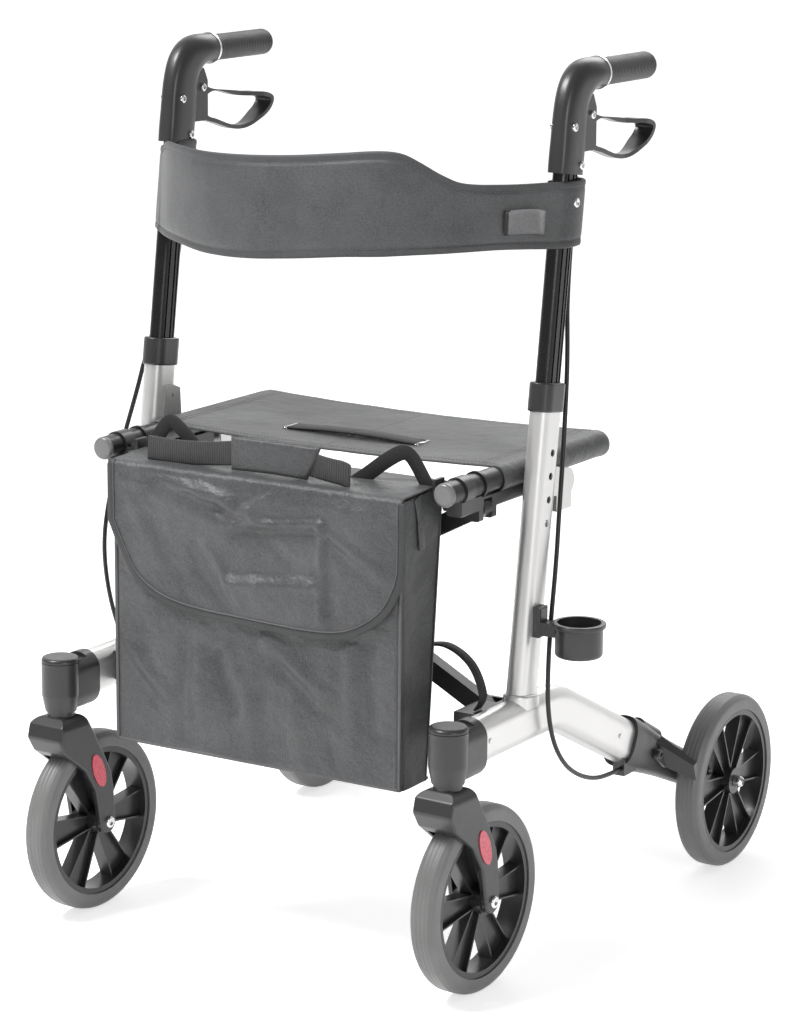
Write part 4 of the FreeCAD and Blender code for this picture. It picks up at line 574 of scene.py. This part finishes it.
def pillow(name, columns, rows, place, half_t, material, power=6):
    """A padded sheet: place(u, v) gives its middle and its outward direction, in millimetres."""
    shells = []
    for face in (1, -1):
        def shell(u, v, face=face):
            middle, out = place(u, v)
            inside = (1 - abs(2 * u - 1) ** power) * (1 - abs(2 * v - 1) ** power)
            q = middle + out * (face * half_t * math.sqrt(max(inside, 0.0)))
            return (q.x, q.y, q.z)
        shells.append(grid(name, columns, rows, shell, material))
    return weld(join(name, shells))


def section_frames(points, up):
    """For each point of a path: the point, its side direction and its up direction."""
    frames = []
    for i, p in enumerate(points):
        along = (points[min(i + 1, len(points) - 1)] - points[max(i - 1, 0)]).normalized()
        side = along.cross(up).normalized()
        frames.append((p, side, side.cross(along).normalized()))
    return frames


def sweep(name, points, up, section, material):
    """Sweep a closed section, given as (side, up) in millimetres, along points in metres."""
    frames = section_frames(points, up)
    count = len(section)
    lengths = [line_length(points[:i + 1]) for i in range(len(points))]
    around = [0.0]
    for a, b in zip(section, section[1:] + section[:1]):
        around.append(around[-1] + math.dist(a, b) * MM)

    def position(i, j):
        p, side, lift = frames[i]
        s, h = section[j % count]
        return p + side * (s * MM) + lift * (h * MM)

    return shaped_grid(name, len(points) - 1, count, position, lambda i, j: (lengths[i], around[j]), material,
                       merged=True, capped=True)


def round_section(radius, count=10):
    """A cord's section."""
    turns = [2 * math.pi * k / count for k in range(count)]
    return [(radius * math.cos(a), radius * math.sin(a)) for a in turns]


def flat_section(width, thick):
    """A strap's section with rounded edges."""
    w, t = width / 2, thick / 2
    return [(-w, -t * 0.4), (-w + t * 0.8, -t), (w - t * 0.8, -t), (w, -t * 0.4), (w, t * 0.4),
            (w - t * 0.8, t), (-w + t * 0.8, t), (-w, t * 0.4)]


def turned_flat(thick, width):
    """The same section turned by a quarter, for a strap whose width lies along the lift direction."""
    return [(h, s) for s, h in flat_section(width, thick)]


def smooth_path(points, steps=8):
    """A smooth curve through points in metres."""
    out = []
    last = len(points) - 1
    for i in range(last):
        p0, p1 = points[max(i - 1, 0)], points[i]
        p2, p3 = points[i + 1], points[min(i + 2, last)]
        for k in range(steps):
            t = k / steps
            out.append(0.5 * ((2 * p1) + (p2 - p0) * t + (2 * p0 - 5 * p1 + 4 * p2 - p3) * t * t
                              + (3 * p1 - p0 - 3 * p2 + p3) * t * t * t))
    out.append(points[last])
    return out


def spaced(points, gap):
    """The points without those that lie closer than the gap to the last one kept."""
    kept = [points[0]]
    for p in points[1:]:
        if (p - kept[-1]).length > gap:
            kept.append(p)
    return kept


def between(x, table_x, table_y):
    """A smooth curve through a table."""
    last = len(table_x) - 1
    if x <= table_x[0]:
        return table_y[0]
    if x >= table_x[last]:
        return table_y[last]
    i = max(k for k in range(last) if table_x[k] <= x)
    slopes = []
    for k in (i, i + 1):
        a, b = max(k - 1, 0), min(k + 1, last)
        slopes.append((table_y[b] - table_y[a]) / (table_x[b] - table_x[a]))
    span = table_x[i + 1] - table_x[i]
    t = (x - table_x[i]) / span
    return (table_y[i] * (1 + 2 * t) * (1 - t) ** 2 + table_y[i + 1] * t * t * (3 - 2 * t)
            + span * (slopes[0] * t * (1 - t) ** 2 - slopes[1] * t * t * (1 - t)))


def stitches(name, points, up, material, pitch=4.5, length=3.0, width=0.8):
    """Short raised threads along a path in metres."""
    bm = bmesh.new()
    bm.loops.layers.uv.new("UVMap")
    travelled = 0.0
    coming = 0.0
    frames = section_frames(points, up)
    for (p, side, lift), (q, _, _) in zip(frames, frames[1:]):
        step = (q - p).length
        if not step:
            continue
        along = (q - p).normalized()
        while coming <= travelled + step:
            centre = p + along * (coming - travelled)
            axes = (along * (length * MM), side * (width * MM), lift * (width * MM))
            place = Matrix.Translation(centre) @ Matrix([[a[k] for a in axes] for k in range(3)]).to_4x4()
            bmesh.ops.create_icosphere(bm, subdivisions=1, radius=0.5, matrix=place)
            coming += pitch * MM
        travelled += step
    return finish_mesh(name, bm, material)


def turned_piece(name, start, direction, outline, material, count=24):
    """A solid of revolution: outline is (distance along, radius) in millimetres from start."""
    bm = bmesh.new()
    bm.loops.layers.uv.new("UVMap")
    direction = direction.normalized()
    side = direction.orthogonal().normalized()
    verts = [bm.verts.new(start + direction * (a * MM) + side * (r * MM)) for a, r in outline]
    edges = [bm.edges.new(pair) for pair in zip(verts, verts[1:])]
    bmesh.ops.spin(bm, geom=verts + edges, cent=start, axis=direction, angle=2 * math.pi, steps=count,
                   use_merge=True)
    bmesh.ops.remove_doubles(bm, verts=bm.verts, dist=SAME_PLACE)
    bmesh.ops.holes_fill(bm, edges=[e for e in bm.edges if e.is_boundary], sides=0)
    return finish_mesh(name, bm, material)


def wrinkle(x, y, z, scale, seed=0.0):
    """A smooth uneven field from about -1 to 1, with waves about 1 / scale millimetres long."""
    return noise.noise(Vector((x * scale + seed, y * scale, z * scale)))


def mast(up, back=0.0, across=TRACK_HALF):
    """A point on a handle post, up from the base tube's axis, in millimetres."""
    return Vector((across, UPRIGHT_Y + up * math.sin(LEAN) + back * math.cos(LEAN),
                   BASE_Z + up * math.cos(LEAN) - back * math.sin(LEAN)))


# Brake cables

def brake_cable(side, route, materials):
    """A cable on a smooth line through its route."""
    data = bpy.data.curves.new("cable_line_" + side, "CURVE")
    data.dimensions = "3D"
    spline = data.splines.new("NURBS")
    spline.points.add(len(route) - 1)
    for point, place in zip(spline.points, route):
        point.co = (*mm(*place), 1)
    spline.order_u = 3
    spline.use_endpoint_u = True
    spline.resolution_u = 8
    line = bpy.data.objects.new("cable_line_" + side, data)
    bpy.context.scene.collection.objects.link(line)
    graph = bpy.context.evaluated_depsgraph_get()
    track = bpy.data.meshes.new_from_object(line.evaluated_get(graph))
    points = [v.co.copy() for v in track.vertices]
    bpy.data.objects.remove(line)
    sheath = sweep("brake_cable_sheath_" + side, points, Vector((1, 0, 0)), round_section(CABLE_R, 12),
                   materials["cable_black"])
    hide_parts("brake_cable_" + side)
    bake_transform(sheath)


# Seat

def seat_half(side, sign, materials):
    """Half of the seat cloth from its sleeve round the rail to the crease in the middle."""
    low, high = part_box("seat_half_" + side)
    y0, y1 = low[1] / MM, high[1] / MM

    def place(u, v):
        y = y0 + (y1 - y0) * v
        if u < SLEEVE_SHARE:
            a = SLEEVE_TURN * (1 - u / SLEEVE_SHARE)
            x = RAIL_X + SLEEVE_R * math.sin(a)
            z = RAIL_Z + SLEEVE_R * math.cos(a)
        else:
            t = (u - SLEEVE_SHARE) / (1 - SLEEVE_SHARE)
            x = RAIL_X * (1 - t)
            z = RAIL_Z + SLEEVE_R - SEAT_SAG * (1 - (1 - t) ** 2)
            pull = math.exp(-((v - 0.5) / 0.6) ** 2)
            z += 0.5 * wrinkle(x * sign, y, 0, 0.02, 7) * pull + 0.25 * wrinkle(x * sign, y, 5, 0.055, 3)
        edge = min(v, 1 - v)
        z -= 0.8 * math.exp(-(edge * 28) ** 2)
        return (sign * x, y, z)

    cloth = grid("seat_cloth_" + side, 84, 60, place, materials["seat_charcoal"], SEAT_T)
    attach(cloth, "seat_" + side)
    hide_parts("seat_half_" + side)
    above = Vector((0, 0, 1.0 * MM))
    hems = (0.045, 0.955)
    seams_across = (SLEEVE_SHARE + 0.05, SLEEVE_SHARE + 0.075)
    rows = []
    for v in hems:
        line = [mm(*place(u / 60, v)) + above for u in range(12, 60)]
        rows.append(stitches("seat_hem", line, Vector((0, 0, 1)), materials["thread_grey"]))
    for u in seams_across:
        line = [mm(*place(u, v / 40)) + above for v in range(1, 40)]
        rows.append(stitches("seat_seam", line, Vector((0, 0, 1)), materials["thread_grey"]))
    seams = join("seat_seams_" + side, rows)
    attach(seams, "seat_" + side)
    strap = strap_half(side, sign, materials)


def strap_half(side, sign, materials):
    """Half of the taut pull strap over the seat's middle, with its bright slot end."""
    def on_seat(x, off, lift):
        """A place on the sagging cloth, raised by the lift."""
        rise = SEAT_SAG * (x / RAIL_X) ** 2
        return mm(sign * x, STRAP_Y + off, RAIL_Z + SLEEVE_R - SEAT_SAG + rise + lift)

    points = [on_seat(x, 0, lift) for x, lift in STRAP_LIFTS]
    web = sweep("strap_" + side, smooth_path(points, 5), Vector((0, 0, 1)), flat_section(STRAP_W, STRAP_T),
                materials["webbing_black"])
    rows = []
    for off in (-9.5, 9.5):
        line = [on_seat(x, off, 3.4) for x in range(STRAP_END - 16, STRAP_END, 2)]
        rows.append(stitches("strap_stitch", line, Vector((0, 0, 1)), materials["thread_grey"], 3.4, 2.4))
    slot_rise = SEAT_SAG * (STRAP_END / RAIL_X) ** 2
    slot_z = RAIL_Z + SLEEVE_R - SEAT_SAG + slot_rise + 1.6
    across = [mm(sign * (STRAP_END + 1.5), STRAP_Y + off, slot_z) for off in (-13, 0, 13)]
    bar = sweep("slot_" + side, across, Vector((0, 0, 1)), flat_section(5, 2.2), materials["bright_steel"])
    strap = join("pull_strap_" + side, [web, bar] + rows)
    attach(strap, "seat_" + side)
    return strap


# Backrest

def band_edges(x):
    """The band's lower and upper edge at x, in millimetres."""
    share = x / TRACK_HALF
    rise, fall = BAND_TOP - BAND_END_TOP, BAND_BOTTOM - BAND_END_BOTTOM
    top = BAND_END_TOP + rise * between(share, BAND_SHARES, BAND_TOP_SHARES)
    low = BAND_END_BOTTOM + fall * between(share, BAND_SHARES, BAND_LOW_SHARES)
    return low, top


def band_plan():
    """The band seen from above, from behind one post round to behind the other.
    Each point is x, y at the ends' middle height, and how far it leans with the post."""
    axis = mast((BAND_MID - BASE_Z) / math.cos(LEAN)).y
    step = 8
    bow = []
    for k in range(-29, 30):
        x = step * k
        share = abs(x) / TRACK_HALF
        bow.append(Vector((x, axis - BAND_FRONT - BAND_BOW * (1 - share ** BAND_POWER), share ** 6)))
    near = [Vector((TRACK_HALF + x, axis + y, 1)) for x, y in BAND_WRAP]
    far = [Vector((-p.x, p.y, 1)) for p in reversed(near)]
    return smooth_path(far + bow + near, 3)


def band_stations():
    """Places along the band: its middle, its outward direction, its edges and its lean."""
    plan = band_plan()
    stations = []
    for i, p in enumerate(plan):
        along = plan[min(i + 1, len(plan) - 1)] - plan[max(i - 1, 0)]
        out = Vector((along.y, -along.x, 0)).normalized()
        stations.append((p, out, *band_edges(p.x)))
    return stations


def band_puff(index, count, from_edge):
    """Half the band's thickness at a station, this far from its edge: bound, stitched, then padded."""
    rim_round, pad_run, groove_w = 2.6, 7, 1.5
    thickening, tip_run = 12, 3
    end = min(index, count - 1 - index)
    wrapped = 1 - min(1, max(0, end - BAND_WRAP_STATIONS) / thickening)
    full = BAND_HALF_T - 2.2 * wrapped
    rim = BAND_RIM_HALF_T * math.sqrt(max(0.0, 1 - max(0.0, 1 - from_edge / rim_round) ** 2))
    pad = (full - BAND_RIM_HALF_T) * (1 - math.exp(-max(0.0, from_edge - BAND_HEM) / pad_run))
    groove = (1.1 - 0.4 * wrapped) * math.exp(-((from_edge - BAND_HEM) / groove_w) ** 2)
    tip = math.sqrt(min(1.0, end / tip_run))
    return (rim + pad - groove) * tip


def backrest_band(materials):
    """One padded band, bowed forward between the posts, whose ends are wrapped round them."""
    stations = band_stations()
    count = len(stations)
    rows = 46
    texture_height = 0.09

    def height(j):
        """Rows lie closer together at the edges."""
        t = j / rows
        return t - 0.55 * math.sin(2 * math.pi * t) / (2 * math.pi)

    def surface(i, share, side, extra=0.0):
        """A point of one face at a station: side is 1 outside and -1 inside."""
        p, out, low, top = stations[i]
        z = low + (top - low) * share
        puff = band_puff(i, count, min(z - low, top - z))
        puff += 0.5 * wrinkle(p.x, 0, z, 0.022) * min(1, puff / 4)
        lean = (z - BAND_MID) * math.tan(LEAN) * p.z
        return mm(*(Vector((p.x, p.y + lean, z)) + out * (side * max(puff, 0) + extra)))

    def in_hem(centre, _):
        low, top = band_edges(centre.x / MM)
        return min(centre.z / MM - low, top - centre.z / MM) < BAND_HEM - 0.7

    lengths = [line_length([surface(i, 0.5, 0) for i in range(k + 1)]) for k in range(count)]
    pieces = []
    for side in (1, -1):
        face = shaped_grid("band_side", count - 1, rows, lambda i, j, side=side: surface(i, height(j), side),
                           lambda i, j: (lengths[i], height(j) * texture_height), materials["cloth_charcoal"])
        second_material(face, materials["hem_charcoal"], in_hem)
        pieces.append(face)
    for edge in (0, 1):
        line = []
        for i in range(4, count - 4):
            _, _, low, top = stations[i]
            share = BAND_HEM / (top - low)
            line.append(surface(i, 1 - share if edge else share, 1, 0.2))
        pieces.append(stitches("band_stitch", line, Vector((0, 0, 1)), materials["thread_grey"], 4.4, 3.0,
                               0.9))
    band = weld(join("backrest_band", pieces + [cane_loop(stations, materials)] + band_screws(materials)))
    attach(band, "post_left")
    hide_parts("backrest")
    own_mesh(band)


def cane_loop(stations, materials):
    """A thick padded loop sewn on the near end of the band, with its left end painted black as painted shade.
    """
    spots = [s for s in stations if s[0].x > 190 and s[0].y < stations[-1][0].y - 20]
    xs = [s[0].x for s in spots]
    ys = [s[0].y for s in spots]

    def place(u, v):
        x = LOOP_X + LOOP_W * u
        nearest = min(spots, key=lambda s: abs(s[0].x - x))
        z = LOOP_Z + LOOP_H * v + 1.5 * math.sin(math.pi * u)
        lean = (z - BAND_MID) * math.tan(LEAN) * nearest[0].z
        return Vector((x, between(x, xs, ys) + lean, z)) + nearest[1] * LOOP_OUT, nearest[1]

    loop = pillow("cane_loop", 26, 20, place, LOOP_HALF_T, materials["loop_grey"], 4)
    # Painted shade: the loop's left end takes the black webbing's colour to stand for the shade on that side
    second_material(loop, materials["webbing_black"], lambda c, n: c.x < (LOOP_X + LOOP_PAINTED_SHADE) * MM)
    return loop


def band_screws(materials):
    """The bright screw at each post that holds the band's end."""
    pieces = []
    head = [(-3, 0), (-3, 5.2), (0.6, 5.2), (1.5, 4.6), (1.7, 2.6), (0.9, 2.3), (0.9, 0)]
    for side, sign in SIDES:
        centre = mast((BAND_SCREW_Z - BASE_Z) / math.cos(LEAN), 2)
        pieces.append(turned_piece("band_screw_" + side, mm(sign * (TRACK_HALF + 15), centre.y, centre.z),
                                   Vector((sign, 0, 0)), head, materials["bright_steel"]))
    return pieces


# Bag

def bag_depth(z):
    """The bag's rear face at height z."""
    return BAG_BACK_LOW + (BAG_BACK_HIGH - BAG_BACK_LOW) * (z - BAG_LOW) / (BAG_HIGH - BAG_LOW)


def creases(x, z, lines):
    """How far creases stand out at (x, z). Each line has two ends, a height and a width, in millimetres."""
    total = 0.0
    spot = Vector((x, z))
    for start, end, height, width in lines:
        a, run = Vector(start), Vector(end) - Vector(start)
        share = min(max((spot - a).dot(run) / run.length_squared, 0), 1)
        total += height * math.exp(-((spot - a - run * share).length / width) ** 2)
    return total


def slack(x, z):
    """The uneven lie of slack cloth."""
    waves = ((1.6, 0.014, 2), (0.8, 0.035, 9), (0.25, 0.09, 5))
    return sum(height * wrinkle(x, 0, z, scale, seed) for height, scale, seed in waves)


def front_fold(x, z):
    """How far the bag's front panel stands out."""
    share = x / BAG_HALF
    height = (z - BAG_LOW) / (BAG_HIGH - BAG_LOW)
    fade = (1 - share ** 8) * math.sin(math.pi * min(max(height, 0), 1)) ** 0.4
    under_flap = min(1.0, max(0.0, (BAG_HIGH - flap_drop(x) - z + 8) / 25))
    fold = CREASE_GAIN * creases(x, z, BODY_CREASES) + slack(x, z)
    return fade * max(min(fold, CREASE_MOST), -BODY_CREASE_DEPTH) * under_flap


def corner_inset(distance):
    """How far a wall of the bag is drawn in by its rounded corner, this far from the corner."""
    short = max(0, BAG_CORNER_R - distance)
    return BAG_CORNER_R - math.sqrt(max(0, BAG_CORNER_R ** 2 - short ** 2))


def bag_ring(u, z):
    """A point of the bag's walls, at height z and this share of the way round: front, side, back, side."""
    front, back = BAG_FRONT + 1, bag_depth(z) - 1
    half = BAG_HALF - 1.5
    depth = back - front
    height = (z - BAG_LOW) / (BAG_HIGH - BAG_LOW)
    turn = u % 1 * 2
    long_wall = turn % 1 < BAG_LONG_SHARE
    share = turn % 1 / BAG_LONG_SHARE if long_wall else (turn % 1 - BAG_LONG_SHARE) / (1 - BAG_LONG_SHARE)
    share -= 0.8 * math.sin(2 * math.pi * share) / (2 * math.pi)
    across = -half + 2 * half * share
    if long_wall and turn < 1:
        x, y, wall = across, front, "front"
    elif long_wall:
        x, y, wall = -across, back, "back"
    elif turn < 1:
        x, y, wall = half, front + depth * share, "side"
    else:
        x, y, wall = -half, back - depth * share, "side"
    away = 1 if x > 0 else -1
    if wall == "front":
        y -= front_fold(x, z)
    if wall == "side":
        bulge = math.sin(math.pi * (y - front) / depth)
        x -= away * (4 * math.sin(math.pi * height) * bulge + 1.2 * wrinkle(0, y, z, 0.03, away * 4) * bulge)
        x -= away * corner_inset(min(y - front, back - y))
    else:
        inset = corner_inset(half - abs(x))
        y += inset if wall == "front" else -inset
    return x, y


def bag_shell(materials):
    """The bag's four walls, its bottom and its lid, with rounded vertical edges and slack cloth."""
    top = BAG_HIGH - 3
    inset = 4
    slope = BAG_SLOPE / (BAG_BACK_HIGH - BAG_FRONT)

    def walls(u, v):
        z = BAG_LOW + 1 + (top - BAG_LOW) * v
        x, y = bag_ring(u, z)
        if v > 0.97:
            z -= slope * max(0, BAG_BACK_HIGH - y)
        return (x, y, z)

    def panel(u, v, back):
        """A place on the bottom or the lid, just inside the walls."""
        front = BAG_FRONT + 3
        return -BAG_HALF + inset + 2 * (BAG_HALF - inset) * u, front + (back - inset - front) * v

    def bottom(u, v):
        x, y = panel(u, v, BAG_BACK_LOW)
        return (x, y, BAG_LOW + 1 + 0.6 * wrinkle(x, v * 50, 0, 0.03))

    def lid(u, v):
        x, y = panel(u, v, BAG_BACK_HIGH)
        return (x, y, top - 1.5 - slope * (BAG_BACK_HIGH - y))

    # The faces on the bag's ends that face sideways, which get the darker cloth as painted shade
    def in_side_painted_shade(centre, normal):
        return abs(normal.x) > 0.75 and abs(centre.x) > (BAG_HALF - BAG_CORNER_R) * MM

    pieces = [grid("bag_walls", 300, 100, walls, materials["bag_charcoal"], merged=True),
              grid("bag_bottom", 60, 10, bottom, materials["bag_charcoal"]),
              grid("bag_lid", 60, 10, lid, materials["bag_charcoal"])]
    bag = join("bag_body", pieces + bag_piping(materials) + bag_straps(materials))
    second_material(bag, materials["bag_side_painted_shade"], in_side_painted_shade)
    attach(bag, "rail_left")
    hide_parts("bag")
    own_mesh(bag)


def bag_piping(materials):
    """Piping down the front edges and round the bottom."""
    low, high = BAG_LOW + 2.4, BAG_HIGH - 8
    front = BAG_FRONT + 2.6
    half = BAG_HALF - 4
    run = BAG_BACK_LOW - BAG_FRONT - 6
    lines = []
    for sign in (-1, 1):
        upright = [mm(sign * (half + 0.4), front, low + (high - low) * k / 60) for k in range(61)]
        along = [mm(sign * half, BAG_FRONT + 3 + run * k / 12, low) for k in range(13)]
        lines += [(upright, Vector((0, 1, 0)), 2.3), (along, Vector((0, 0, 1)), 2.0)]
    lines.append(([mm(half * (k / 40 - 1), front, low) for k in range(81)], Vector((0, 0, 1)), 2.0))
    return [sweep("bag_piping", points, up, round_section(radius, 10), materials["piping_grey"])
            for points, up, radius in lines]


def bag_straps(materials):
    """Flat webbing from the bag's upper corners over the rails' hooks, with a tail down each side."""
    pieces = []
    for sign in (-1, 1):
        over = smooth_path([mm(sign * x, y, z) for x, y, z in HOOK_STRAP], 6)
        pieces.append(sweep("bag_loop", over, Vector((0, 1, 0)), flat_section(16, 2.2),
                            materials["webbing_black"]))
        tail = smooth_path([mm(sign * (BAG_HALF - 1.2), y, z) for y, z in HOOK_STRAP_TAIL], 6)
        pieces.append(sweep("bag_tail", tail, Vector((sign, 0, 0)), flat_section(11, 2.2),
                            materials["webbing_black"]))
    return pieces


def flap_drop(x):
    """How far the flap hangs down at x, in millimetres below the bag's top."""
    across, down = zip(*FLAP_DROP_SHARES)
    return (BAG_HIGH - BAG_LOW) * between(x / BAG_HALF, across, down)


def bag_flap(materials):
    """The lid and its hanging front as one sheet with a bound edge."""
    top = BAG_HIGH + FLAP_GAP + FLAP_T / 2
    front = BAG_FRONT - FLAP_GAP - FLAP_T / 2
    back = BAG_BACK_HIGH - 1
    depth = back - front
    half = BAG_HALF - 1
    bend = 7

    def place(u, v):
        x = -half + 2 * half * u
        s = (depth + flap_drop(x)) * v
        if s < depth - bend:
            return (x, back - s, top - BAG_SLOPE * s / depth + 0.5 * wrinkle(x, s, 0, 0.03, 5))
        if s < depth + bend:
            a = (s - depth + bend) / (2 * bend) * math.pi / 2
            return (x, front + bend - bend * math.sin(a), top - BAG_SLOPE - bend + bend * math.cos(a))
        drop = s - depth
        z = top - BAG_SLOPE - drop
        fade = (1 - (x / half) ** 6) * min(1, (drop - bend) / 12)
        fold = CREASE_GAIN * creases(x, z, FLAP_CREASES) + 0.8 * slack(x, z)
        return (x, front - fade * (FLAP_CREASE_DEPTH + max(min(fold, CREASE_MOST), -FLAP_CREASE_DEPTH)), z)

    sheet = grid("bag_lid_flap", 140, 120, place, materials["bag_charcoal"], 1.6)
    trim = flap_trim(place, materials)
    for piece in (sheet, trim):
        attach(piece, "flap")
        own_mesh(piece)
    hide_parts("bag_flap")
    carry_handle(materials, top - BAG_SLOPE)


def flap_trim(place, materials):
    """The binding round the flap's hanging edge, with its seam. The flap's surface is place(u, v)."""
    down = [FLAP_SIDE_START + (1 - FLAP_SIDE_START) * k / 30 for k in range(31)]
    edge = [mm(*place(0.0, v)) for v in down]
    edge += [mm(*place(k / 200, 1.0)) for k in range(1, 200)]
    edge += [mm(*place(1.0, v)) for v in reversed(down)]
    edge = spaced(edge, 1.2 * MM)
    facing = Vector((0, 1, 0))
    binding = sweep("flap_binding", edge, facing, flat_section(10, 3.0), materials["binding_charcoal"])
    inner = []
    for i, p in enumerate(edge):
        along = (edge[min(i + 1, len(edge) - 1)] - edge[max(i - 1, 0)]).normalized()
        inner.append(p + along.cross(facing) * (3.6 * MM) - facing * (1.7 * MM))
    seam = sweep("flap_seam", inner, facing, round_section(0.7, 6), materials["piping_grey"])
    return join("bag_flap_trim", [binding, seam])


def carry_handle(materials, low):
    """A padded carry handle that stands on edge on the lid, with ribbed webbing at each side."""
    pieces = []
    for side, reach, dip in ((-1, HANDLE_FAR - 4, 5), (1, HANDLE_NEAR, 1.5)):
        def strip(u, v, side=side, reach=reach, dip=dip):
            inner = PAD_SHIFT + side * (PAD_HALF - 10)
            x = inner + (side * reach - inner) * u
            end = max(0.0, u - 0.8) / 0.2
            fall = dip * math.sin(math.pi * u) * 0.6 + 6 * u + (3 * end * end if side > 0 else 0)
            return (x, HANDLE_Y + 1.2 * math.sin(5 * u + 2 * v), low + 8 - fall + (WEB_H + 1 - u) * v)
        pieces.append(grid("handle_web", 60, 12, strip, materials["webbing_ribbed"], 2.4))

    def pad(u, v):
        x = PAD_SHIFT - PAD_HALF + (2 * PAD_HALF + 17 * v - 3) * u
        return Vector((x, HANDLE_Y, low + 2 + PAD_H * v + 1.2 * math.sin(math.pi * u))), Vector((0, -1, 0))

    pieces.append(pillow("handle_pad", 70, 30, pad, 4.8, materials["bag_charcoal"], 8))
    box = [(0.09, 0.12), (0.91, 0.12), (0.91, 0.88), (0.09, 0.88), (0.09, 0.12)]
    for (u0, v0), (u1, v1) in zip(box, box[1:]):
        line = []
        for k in range(25):
            middle, out = pad(u0 + (u1 - u0) * k / 24, v0 + (v1 - v0) * k / 24)
            line.append(mm(*(middle + out * 4.3)))
        pieces.append(stitches("pad_stitch", line, Vector((0, -1, 0.01)), materials["thread_grey"], 4.2,
                               2.8, 0.9))
    handle = join("bag_carry_handle", pieces)
    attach(handle, "flap")
    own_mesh(handle)


# Webbing at the brace bracket

def webbing_loop(materials):
    """A strip of webbing that stands up from the brace bracket and bends over to the bag."""
    x, y, z = WEBBING_FOOT
    points = [mm(x + a * WEBBING_SPAN, y, z + b * WEBBING_SPAN) for a, b in WEBBING_SHARES]
    band = sweep("fold_webbing", smooth_path(points, 10), Vector((0, 1, 0)), turned_flat(2.2, 15),
                 materials["webbing_black"])
    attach(band, "frame_left")
    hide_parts("webbing_loop")


# Stage and light

def make_stage():
    """A pale floor that rises into a backdrop and stays white to the camera, with its shadow kept."""
    size = 9
    back = 5
    bend = 1.2
    rows = [(-size, 0)]
    for k in range(17):
        a = math.pi / 2 * k / 16
        rows.append((back + bend * math.sin(a), bend - bend * math.cos(a)))
    rows.append((back + bend, size))
    n = Nodes("pale_floor").set(Roughness=0.9)
    n.colour(n.ramp(n.noise(0.6, 2), (0.93, 0.93, 0.93), (0.95, 0.95, 0.95)))
    n.shown_white(FLOOR_GLOW)
    turn = Matrix.Rotation(math.radians(CAMERA_AZIMUTH), 4, "Z")
    floor = shaped_grid("studio_floor", 1, len(rows) - 1,
                        lambda i, j: turn @ Vector(((2 * i - 1) * size * 1.5, rows[j][0], rows[j][1])),
                        lambda i, j: (i, j), n.material)


def area_light(name, place, target, size, power):
    """A square lamp at a place, turned to its target."""
    data = bpy.data.lights.new(name, "AREA")
    data.shape = "RECTANGLE"
    data.size = size
    data.size_y = size
    data.energy = power
    light = bpy.data.objects.new(name, data)
    bpy.context.scene.collection.objects.link(light)
    light.location = place
    light.rotation_euler = (Vector(target) - Vector(place)).to_track_quat("-Z", "Y").to_euler()


def make_light():
    """Three lamps and a pale world."""
    world = bpy.data.worlds.new("studio")
    bpy.context.scene.world = world
    world.use_nodes = True
    background = world.node_tree.nodes["Background"]
    background.inputs["Color"].default_value = (1, 1, 1, 1)
    background.inputs["Strength"].default_value = WORLD_STRENGTH
    for lamp in LAMPS:
        area_light(*lamp)
    bpy.context.scene.view_settings.view_transform = "Standard"


make_camera()
materials = make_materials()
dress_nodes(materials)
for (side, sign), route in zip(SIDES, (CABLE_LEFT, CABLE_RIGHT)):
    brake_cable(side, route, materials)
for side, sign in SIDES:
    seat_half(side, sign, materials)
backrest_band(materials)
bag_shell(materials)
bag_flap(materials)
webbing_loop(materials)
make_stage()
make_light()
